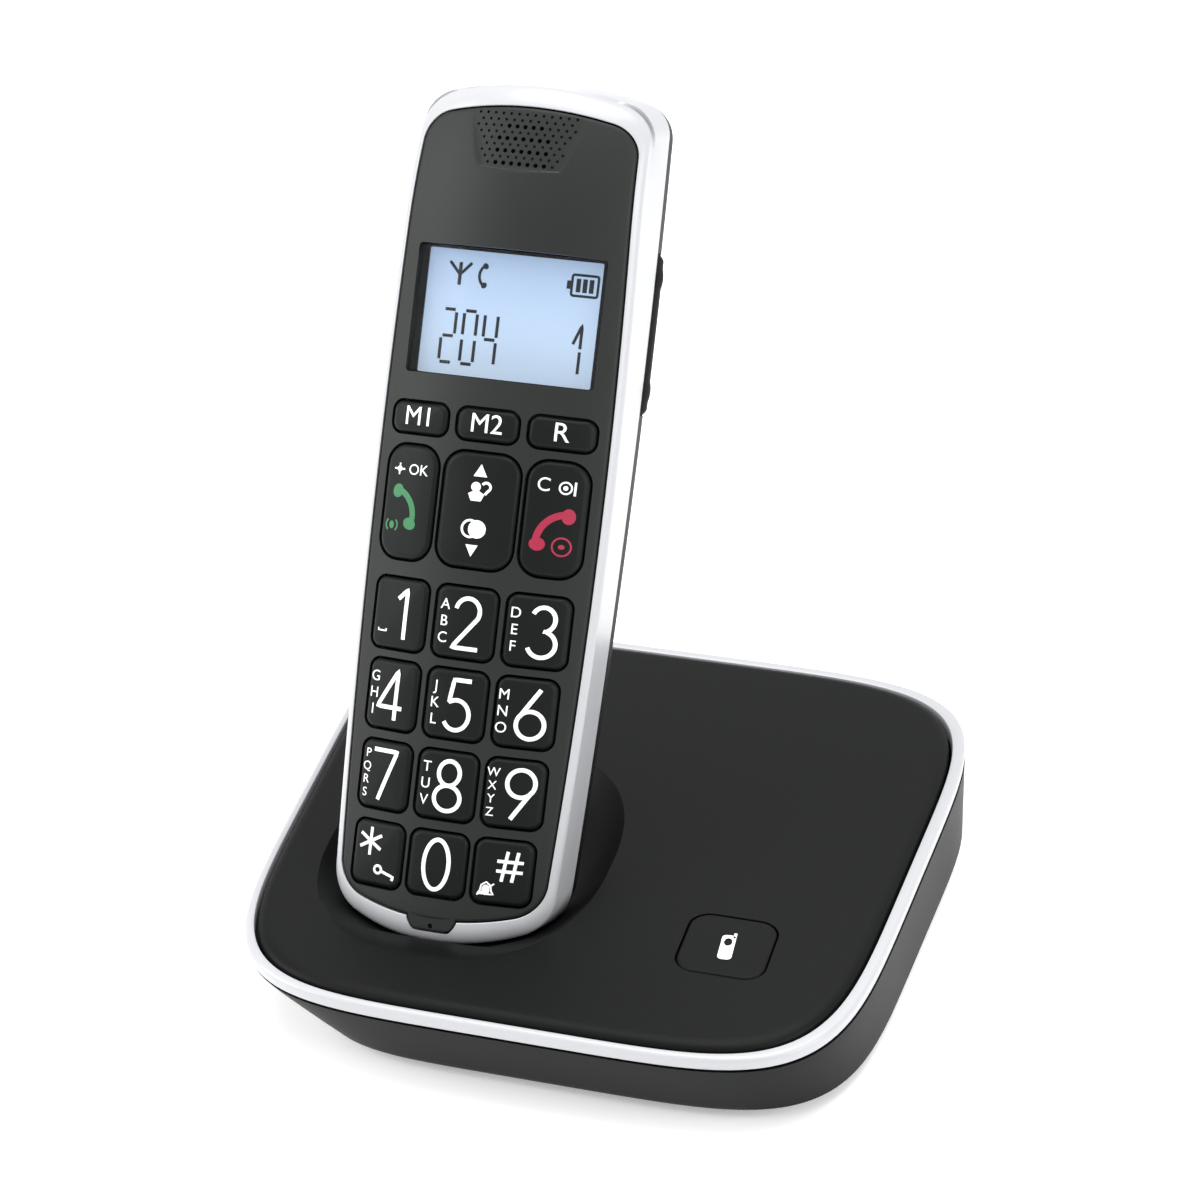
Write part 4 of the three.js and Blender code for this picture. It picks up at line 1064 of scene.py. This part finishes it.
# %% Printing the number keys
DIGIT_HEIGHT = 9.6
LETTERS = {"key_2": "ABC", "key_3": "DEF", "key_4": "GHI", "key_5": "JKL", "key_6": "MNO",
           "key_7": "PQRS", "key_8": "TUV", "key_9": "WXYZ"}
for name, key in KEYS.items():
    text = name.removeprefix("key_")
    if text not in DIGITS:
        continue
    centre_x, centre_y = middle_of(key)
    shift = {-1: -0.2, 0: 0.6, 1: 1.3}[(centre_x > 5) - (centre_x < -5)] if text != "0" else 0.0
    if text == "1":
        shift = 0.9
    parts = digit(text, centre_x + shift, centre_y, DIGIT_HEIGHT)
    letters = LETTERS.get(name, "")
    pitch = 2.55 if len(letters) == 4 else 3.2
    for i, letter in enumerate(letters):
        y = centre_y + pitch * ((len(letters) - 1) / 2 - i)
        parts.append(lettering(letter, centre_x - 4.0, y, 2.9 if pitch > 3 else 2.4))
    if text == "1":
        space = [(-1, 0.5), (-1, 0), (1, 0), (1, 0.5)]
        parts.append(stroke(moved(space, centre_x - 3.4, centre_y - 3.6, 0.9), 0.3))
    print_on(name + "_legend", name, parts, WHITE_INK)

# %% Printing the star, hash and function keys
cx, cy = middle_of(KEYS["key_star"])
parts = [stroke([(cx - 1.6 - 2.7 * math.cos(a), cy + 2.3 - 2.7 * math.sin(a)),
                 (cx - 1.6 + 2.7 * math.cos(a), cy + 2.3 + 2.7 * math.sin(a))], 0.62)
         for a in (math.radians(30), math.radians(90), math.radians(150))]
parts += [stroke(circle(cx + 0.6, cy - 2.9, 0.75, 18), 0.5, True),
          stroke([(cx + 1.3, cy - 3.1), (cx + 4.0, cy - 3.9), (cx + 3.8, cy - 4.6)], 0.55)]
print_on("key_star_legend", "key_star", parts, WHITE_INK)

cx, cy = middle_of(KEYS["key_hash"])
hash_x, hash_y = cx + 1.4, cy + 1.3
parts = [stroke([(hash_x + d - 0.35, hash_y - 2.9), (hash_x + d + 0.35, hash_y + 2.9)], 0.62)
         for d in (-0.95, 0.95)]
parts += [stroke([(hash_x - 2.4, hash_y + d), (hash_x + 2.4, hash_y + d)], 0.62) for d in (-0.95, 0.95)]
bell = [(-1, -0.6), (-0.7, -0.2), (-0.6, 0.5), (0, 0.95), (0.6, 0.5), (0.7, -0.2), (1, -0.6)]
parts += [stroke(moved(bell, cx - 2.6, cy - 3.4, 1.5), 0.32, True), disc(cx - 2.6, cy - 3.5, 0.75, 1.0),
          stroke([(cx - 4.2, cy - 4.6), (cx - 1.1, cy - 2.2)], 0.3)]
print_on("key_hash_legend", "key_hash", parts, WHITE_INK)

for name, text in (("key_m1", "M1"), ("key_m2", "M2"), ("key_r", "R")):
    cx, cy = middle_of(KEYS[name])
    print_on(name + "_legend", name, [lettering(text, cx, cy + 0.1, 5.2)], WHITE_INK)

# %% Printing the call and navigation keys
cx, cy = middle_of(KEYS["key_talk"])
parts = [lettering("OK", cx + 1.5, cy + 6.2, 2.9),
         stroke([(cx - 3.9, cy + 6.2), (cx - 1.5, cy + 6.2)], 0.32),
         stroke([(cx - 2.7, cy + 7.3), (cx - 2.7, cy + 5.1)], 0.32), disc(cx - 2.7, cy + 6.2, 0.55)]
print_on("key_talk_legend", "key_talk", parts, WHITE_INK)
print_on("key_talk_sign", "key_talk",
         [*receiver(cx - 3.9, cy - 2.7, 5.2, 73, -17), disc(cx - 3.2, cy - 4.7, 0.55, 0.75),
          stroke(arc(cx - 3.2, cy - 4.7, 1.3, 1.3, -50, 50, 8, True), 0.35),
          stroke(arc(cx - 3.2, cy - 4.7, 1.3, 1.3, 130, 230, 8, True), 0.35)], GREEN_INK)

cx, cy = middle_of(KEYS["key_end"])
parts = [lettering("C", cx - 2.4, cy + 6.4, 3.7), stroke(circle(cx + 1.6, cy + 6.2, 1.1, 20), 0.32, True),
         disc(cx + 1.6, cy + 6.2, 0.45), stroke([(cx + 3.3, cy + 4.9), (cx + 3.3, cy + 7.5)], 0.4)]
print_on("key_end_legend", "key_end", parts, WHITE_INK)
parts = receiver(cx + 3.0, cy - 4.6, 5.8, 93, 183)
parts += [stroke(circle(cx + 2.0, cy - 5.0, 1.7, 24), 0.34, True), disc(cx + 2.0, cy - 5.0, 0.6, 0.45)]
print_on("key_end_sign", "key_end", parts, RED_INK)

cx, cy = middle_of(KEYS["key_navigate"])
parts = [disc(cx, cy + 7.3, 1.55, 1.6, 3, 0), disc(cx - 0.2, cy - 7.3, 1.4, 1.5, 3, 180),
         disc(cx - 0.4, cy + 2.8, 1.7, 1.2, 5), disc(cx - 0.6, cy + 4.5, 0.95),
         stroke(arc(cx + 1.4, cy + 4.6, 0.85, 0.85, 150, -60, 12, True) + [(cx + 1.3, cy + 3.2)], 0.5),
         disc(cx + 0.5, cy - 3.5, 1.75), stroke(arc(cx - 0.9, cy - 3.5, 1.6, 1.6, 60, 300, 20, True), 0.45)]
print_on("key_navigate_legend", "key_navigate", parts, WHITE_INK)
print("legends printed")

# %% [markdown]
# ## Display
# Behind the clear window is a dark well with a lit liquid-crystal panel at its bottom. The marks are
# thin dark shapes just in front of the panel: generic digits and signs only.

# %% Well, panel and marks
LIT = (-17.4, 17.4, 47.3, 71.4)
well_outer = rounded(-WINDOW_HALF - 0.9, WINDOW_HALF + 0.9, WINDOW_LOW - 0.9, WINDOW_HIGH + 0.9, 0.8, 4)
lit_edge = rounded(*LIT, 0.4, 4)
inner_well = rounded(-WINDOW_HALF, WINDOW_HALF, WINDOW_LOW, WINDOW_HIGH, 0.8, 4)
WELL_TOP = 2.3  # depth of the well's upper edge below the face
depth_top, depth_outer = on_face(inner_well, WELL_TOP), on_face(well_outer, WELL_TOP)
well_rows = [depth_outer, depth_top, at(inner_well, -DISPLAY_DEPTH + 0.6),
             at(lit_edge, -DISPLAY_DEPTH + 0.35), at(lit_edge, -DISPLAY_DEPTH + 0.1),
             at(well_outer, -DISPLAY_DEPTH + 0.1), depth_outer]
seat(skin("display_well", well_rows), "handset", WELL)

panel_edge = rounded(-19.1, 19.1, WINDOW_LOW - 2.1, WINDOW_HIGH + 2.1, 0.6, 4)
screen = stack("display_panel", [at(panel_edge, -DISPLAY_DEPTH - 2.2), at(panel_edge, -DISPLAY_DEPTH - 0.15),
                                 at([(x * 0.99, y) for x, y in panel_edge], -DISPLAY_DEPTH)])
seat(screen, "handset", GLASS, ["display_module"])

SEGMENTS = {
    "a": ((0.1, 1), (0.9, 1)), "b": ((1, 0.95), (1, 0.55)), "c": ((1, 0.45), (1, 0.05)),
    "d": ((0.1, 0), (0.9, 0)), "e": ((0, 0.45), (0, 0.05)), "f": ((0, 0.95), (0, 0.55)),
    "g": ((0.1, 0.5), (0.9, 0.5)),
}
LIT_SEGMENTS = {"2": "abged", "0": "abcdef", "4": "fgbc"}
SEGMENT_WIDTH, SEGMENT_HEIGHT = 2.6, 10.2


def segment_digit(text, x, y):
    """A digit of the display, made of separate bars, from its lower left corner."""
    return [stroke([(x + px * SEGMENT_WIDTH, y + py * SEGMENT_HEIGHT) for px, py in SEGMENTS[bar]], 0.62)
            for bar in LIT_SEGMENTS[text]]


marks = [bar for text, x in (("2", -13.4), ("0", -9.2), ("4", -5.0)) for bar in segment_digit(text, x, 49.6)]
# the figure one at the right
marks += [stroke([(14.4, 50.0), (14.4, 54.2)], 0.6), stroke([(14.4, 54.8), (14.4, 59.4), (12.9, 55.6)], 0.6)]
# an aerial, a receiver and a battery with three bars
marks += [stroke([(-11.0, 64.6), (-11.0, 69.0)], 0.7),
          stroke([(-13.2, 69.0), (-11.0, 66.6), (-8.8, 69.0)], 0.6)]
marks += receiver(-4.7, 66.8, 2.4, 125, 235)
marks += [stroke(rounded(11.4, 16.6, 64.8, 68.8, 0.4, 3), 0.5, True),
          stroke([(10.8, 66.0), (10.8, 67.6)], 0.8)]
marks += [stroke([(x, 65.5), (x, 68.1)], 0.9) for x in (12.7, 14.0, 15.3)]
marks = joined("display_marks", marks)
marks.data.transform(Matrix.Translation((0, 0, -DISPLAY_DEPTH + 0.04)))
seat(marks, "handset", LCD_INK)

# %% The clear window
def lens_ring(grow, drop, share=1.0):
    """A rectangle that follows the face: a share of the window's size at a depth."""
    middle = (WINDOW_LOW + WINDOW_HIGH) / 2
    width, height = (WINDOW_HALF - GAP + grow), (WINDOW_HIGH - WINDOW_LOW) / 2 - GAP + grow
    ring = [(u * share * width, middle + v * share * height) for u, v in square_ring(24, 12)]
    return on_face(ring, drop)


lens_rows = [lens_ring(0, 1.8, s / 5) for s in range(6)]
lens_rows += [lens_ring(0, 0.45), lens_ring(-0.15, 0.3)]
lens_rows += [lens_ring(-0.15, 0.3, s / 5) for s in (4, 3, 2, 1, 0)]
seat(skin("display_window", lens_rows), "handset", CLEAR, ["display_lens"])

# %% [markdown]
# ## Back cover, battery door and volume rocker
# The back is one shell with a rounded edge, a heel that stands in the cradle and slots for the ringer.
# The door closes over the two cells and comes straight out. The rocker is a slim bar in the right
# flank with a small bump near each end.

# %% Back cover
SEAM = FRAME_BACK + GAP
back_depths = [SEAM, 20.5, 21.5, 22.5, 23.3, 24.0, 24.7, 25.3, 25.8, 26.2, 26.5, 26.8, 27.0]


def back_solid(name, grow=0.0, top=SEAM):
    """The handset's rounded back as a solid, grown or shrunk, from a depth downwards."""
    rings = [at(handset_level(d, grow), -d - (grow if d == 27.0 else 0)) for d in back_depths if d >= top]
    if grow or top != SEAM:
        rings.insert(0, at(handset_level(SEAM, grow), -top))
    flat_back = handset_level(27.0, grow)
    rings += [at(towards_spine(flat_back, s), -27.0 - grow) for s in (0.08, 0.3, 0.6, 1.0)]
    return skin(name, [point_row(rings[0]), *rings])


cover = back_solid("handset_back_shell")
hollow = back_solid("hollow", -1.8, SEAM - 2)
carve(cover, hollow)
DOOR_HALF, DOOR_TOP, DOOR_LOW, DOOR_THICK = 17.0, 3.0, -46.9, 1.7
TRAY_WALL = 1.5
SLOT_MIDDLE, SLOT_PITCH, SLOT_HALF = 62.0, 3.2, 0.7
SCREW_ASIDE, SCREW_UP = 13.0, 88.0


def door_outline(grow, corner, steps):
    return rounded(-DOOR_HALF - grow, DOOR_HALF + grow, DOOR_LOW - grow, DOOR_TOP + grow, corner, steps)


cells_room = slab("cells_room", door_outline(TRAY_WALL, 3, 6), -26.3, -20.2)
tray_room = slab("tray_room", door_outline(GAP, 3.3, 6), -30, -21.0)
carve(cover, cells_room, "UNION")
carve(cover, tray_room)
slots = [slab("slot", rounded(-8, 8, y - SLOT_HALF, y + SLOT_HALF, SLOT_HALF - 0.01, 5), -29, -24)
         for y in (SLOT_MIDDLE + SLOT_PITCH * i for i in range(-2, 3))]
bores = [slab("bore", circle(x, SCREW_UP, 2.6, 28), -29, -24) for x in (-SCREW_ASIDE, SCREW_ASIDE)]
carve(cover, joined("openings", [*slots, *bores]))
carve(cover, slab("rocker_room", rounded(19, 30, 43.7, 75.3, 0.5, 3), -24.1, -20.1))
tidy(cover, 1e-4)
level(smooth(seat(cover, "handset", BACK, ["handset_back_cover"]), 32))

# %% Battery door
door = slab("battery_door_panel", door_outline(0, 3, 8), -30, -THICKNESS + DOOR_THICK)
carve(door, back_solid("back_form", 0.0), "INTERSECT")
grips = []
for i in range(4):
    half, y = 6 - 0.5 * i, DOOR_TOP - 8 + 1.5 * i
    grips.append(slab("grip", rounded(-half, half, y, y + 0.7, 0.3, 4), -28, -26.5))
carve(door, joined("grips", grips))
tidy(door, 1e-4)
level(smooth(seat(door, "battery_door", BACK, ["battery_door"]), 32))

# %% Volume rocker
ROCKER_LOW, ROCKER_HIGH = 44.0, 75.0
ROCKER_HALF, ROCKER_MIDDLE = 1.6, -22.1
ROCKER_PROUD, BUMP = 0.7, 0.3
ROCKER_STEPS = 62


def side_x(y):
    """The back's half width at a height along the handset."""
    points = outline(BODY_BACK)[:SIDE_STEPS]
    for (xa, ya), (xb, yb) in zip(points, points[1:]):
        if ya <= y <= yb:
            return xa + (xb - xa) * (y - ya) / (yb - ya)
    return points[-1][0]


def rocker_row(y):
    """A section of the rocker: flat behind, rounded outside, with a bump near each end."""
    reach = ROCKER_PROUD
    for centre in (ROCKER_LOW + 4.5, ROCKER_HIGH - 4.5):
        reach += BUMP * max(0.0, 1 - ((y - centre) / 2.0) ** 2)
    taper = min(1.0, (y - ROCKER_LOW) / 1.2 + 0.35, (ROCKER_HIGH - y) / 1.2 + 0.35)
    edge_x = side_x(y)
    ring = [(edge_x - 3.4, y, ROCKER_MIDDLE + ROCKER_HALF), (edge_x - 3.4, y, ROCKER_MIDDLE - ROCKER_HALF)]
    ring += [(edge_x - 0.4 + (reach + 0.4) * taper * math.cos(math.radians(a)), y,
              ROCKER_MIDDLE + ROCKER_HALF * math.sin(math.radians(a))) for a in range(-90, 91, 15)]
    return ring


rocker = stack("volume_rocker_bar",
               [rocker_row(ROCKER_LOW + (ROCKER_HIGH - ROCKER_LOW) * i / ROCKER_STEPS)
                for i in range(ROCKER_STEPS + 1)])
seat(rocker, "volume_rocker", BACK, ["volume_rocker"], angle=40)

# %% [markdown]
# ## The sign on the page button
# A small printed handset marks the button that makes a lost handset ring.

# %% Page sign
SIGN_TURN = 4  # degrees anticlockwise


def page_sign():
    """A small handset with a round opening for its display and a short aerial."""
    body = slab("body", rounded(-1.35, 1.35, -4.1, 3.4, 0.9, 6), -INK / 2, INK / 2)
    carve(body, slab("opening", arc(0, 1.3, 0.8, 1.2, 0, 360, 24), -1, 1))
    aerial = slab("aerial", rounded(0.75, 1.35, 2.6, 4.2, 0.25, 3), -INK / 2, INK / 2)
    obj = joined("page_button_sign", [body, aerial])
    obj.data.transform(Matrix.Translation((PAGE[0], PAGE[1], page_top - 0.1))
                       @ Matrix.Rotation(math.radians(SIGN_TURN), 4, "Z"))
    return obj


seat(page_sign(), "page_button", WHITE_INK, where=upright)

# %% [markdown]
# ## Small parts
# Feet are rubber pads with a rolled edge. The pieces inside and the plain turned parts keep their CAD
# shape, which is right as it is, and get a finish.

# %% Feet
def pad(name):
    """A round foot with a rolled edge and a slightly hollow underside."""
    low, high = (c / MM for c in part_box(name))
    centre, radius = (low + high) / 2, (high.x - low.x) / 2
    profile = [(0.0, high.z), (radius, high.z), (radius, low.z + 0.8), (radius - 0.15, low.z + 0.35),
               (radius - 0.7, low.z), (radius - 1.3, low.z), (radius - 1.6, low.z + 0.3), (0.0, low.z + 0.3)]
    return skin(name + "_pad", [at(circle(centre.x, centre.y, r, 48), z) for r, z in profile])


for name in feet:
    seat(pad(name), "base", RUBBER, [name], upright)

# %% Finishes for the CAD nodes that stay
PLAIN = {
    "page_switch": SOCKET, "base_circuit_board": BOARD, "line_socket": SOCKET, "power_socket": SOCKET,
    "contact_holder": SOCKET, "charge_pin_left": GOLD, "charge_pin_right": GOLD, "charge_pad_left": GOLD,
    "charge_pad_right": GOLD, "handset_circuit_board": BOARD, "keypad_mat": RUBBER, "earpiece": SOCKET,
    "microphone": STEEL, "ringer_speaker": SOCKET, "cell_left": WRAP, "cell_right": WRAP,
    "cell_spring_left": STEEL, "cell_spring_right": STEEL, "cell_link": STEEL,
    "handset_screw_1": STEEL, "handset_screw_2": STEEL, **{name: STEEL for name in screws},
}
for name, finish in PLAIN.items():
    nodes[name].data.materials.clear()
    nodes[name].data.materials.append(finish.material)
print("CAD nodes kept:", len(PLAIN))

# %% [markdown]
# ## Floor, light and camera
# A pale floor without texture and large soft lights keep the shadows faint and the plastic's grain
# readable. The camera looks down on the right-hand side of the phone.

# %% Floor
bpy.ops.object.select_all(action="DESELECT")
bpy.ops.mesh.primitive_grid_add(x_subdivisions=4, y_subdivisions=4, size=6)
floor = bpy.context.object
floor.name = "floor"
floor_finish = Finish("pale_floor", (0.93, 0.93, 0.93), 0.9, Specular_IOR_Level=0.1,
                      Emission_Color=(1, 1, 1, 1), Emission_Strength=0.25)
floor.data.materials.append(floor_finish.material)


# %% Lights
def soft_light(name, position, target, size, power):
    """A square soft box that looks at a target."""
    light = bpy.data.lights.new(name, "AREA")
    light.energy, light.size = power, size
    obj = bpy.data.objects.new(name, light)
    bpy.context.scene.collection.objects.link(obj)
    obj.location = position
    obj.rotation_euler = (Vector(target) - Vector(position)).to_track_quat("-Z", "Y").to_euler()
    return obj


TARGET = (0, 0, 0.06)
soft_light("over_light", (0.05, 0.25, 1.1), TARGET, 1.0, 12.0)
soft_light("left_light", (-0.9, -0.35, 0.6), TARGET, 0.8, 9.0)
soft_light("right_light", (1.0, -0.2, 0.5), TARGET, 0.6, 5.0)
world = bpy.data.worlds.new("studio")
world.use_nodes = True
world.node_tree.nodes["Background"].inputs[0].default_value = (1, 1, 1, 1)
world.node_tree.nodes["Background"].inputs[1].default_value = 0.85
bpy.context.scene.world = world
bpy.context.scene.view_settings.view_transform = "Standard"
print("lights placed")

# %% Camera
AZIMUTH, ELEVATION, ROLL = math.radians(15.94), math.radians(30.43), math.radians(-0.81)
DISTANCE, ASIDE, ABOVE = 551.3, 25.88, 4.86
LENS = 86.8
right = Vector((math.cos(AZIMUTH), math.sin(AZIMUTH), 0))
away = Vector((math.sin(AZIMUTH) * math.cos(ELEVATION), -math.cos(AZIMUTH) * math.cos(ELEVATION),
               math.sin(ELEVATION)))
up = away.cross(right)
right, up = (math.cos(ROLL) * right + math.sin(ROLL) * up, math.cos(ROLL) * up - math.sin(ROLL) * right)
eye = (HANDSET_AT + ASIDE * right + ABOVE * up + DISTANCE * away) * MM
camera_data = bpy.data.cameras.new("camera")
camera_data.lens, camera_data.sensor_width = LENS, 36
camera_data.clip_start = 0.02
camera = bpy.data.objects.new("camera", camera_data)
bpy.context.scene.collection.objects.link(camera)
camera.matrix_world = Matrix.Translation(eye) @ Matrix((right, up, away)).transposed().to_4x4()
bpy.context.scene.camera = camera
print("camera at", [round(c, 3) for c in eye])

# %% Count of pieces made and the end
print("pieces made:", len(made))
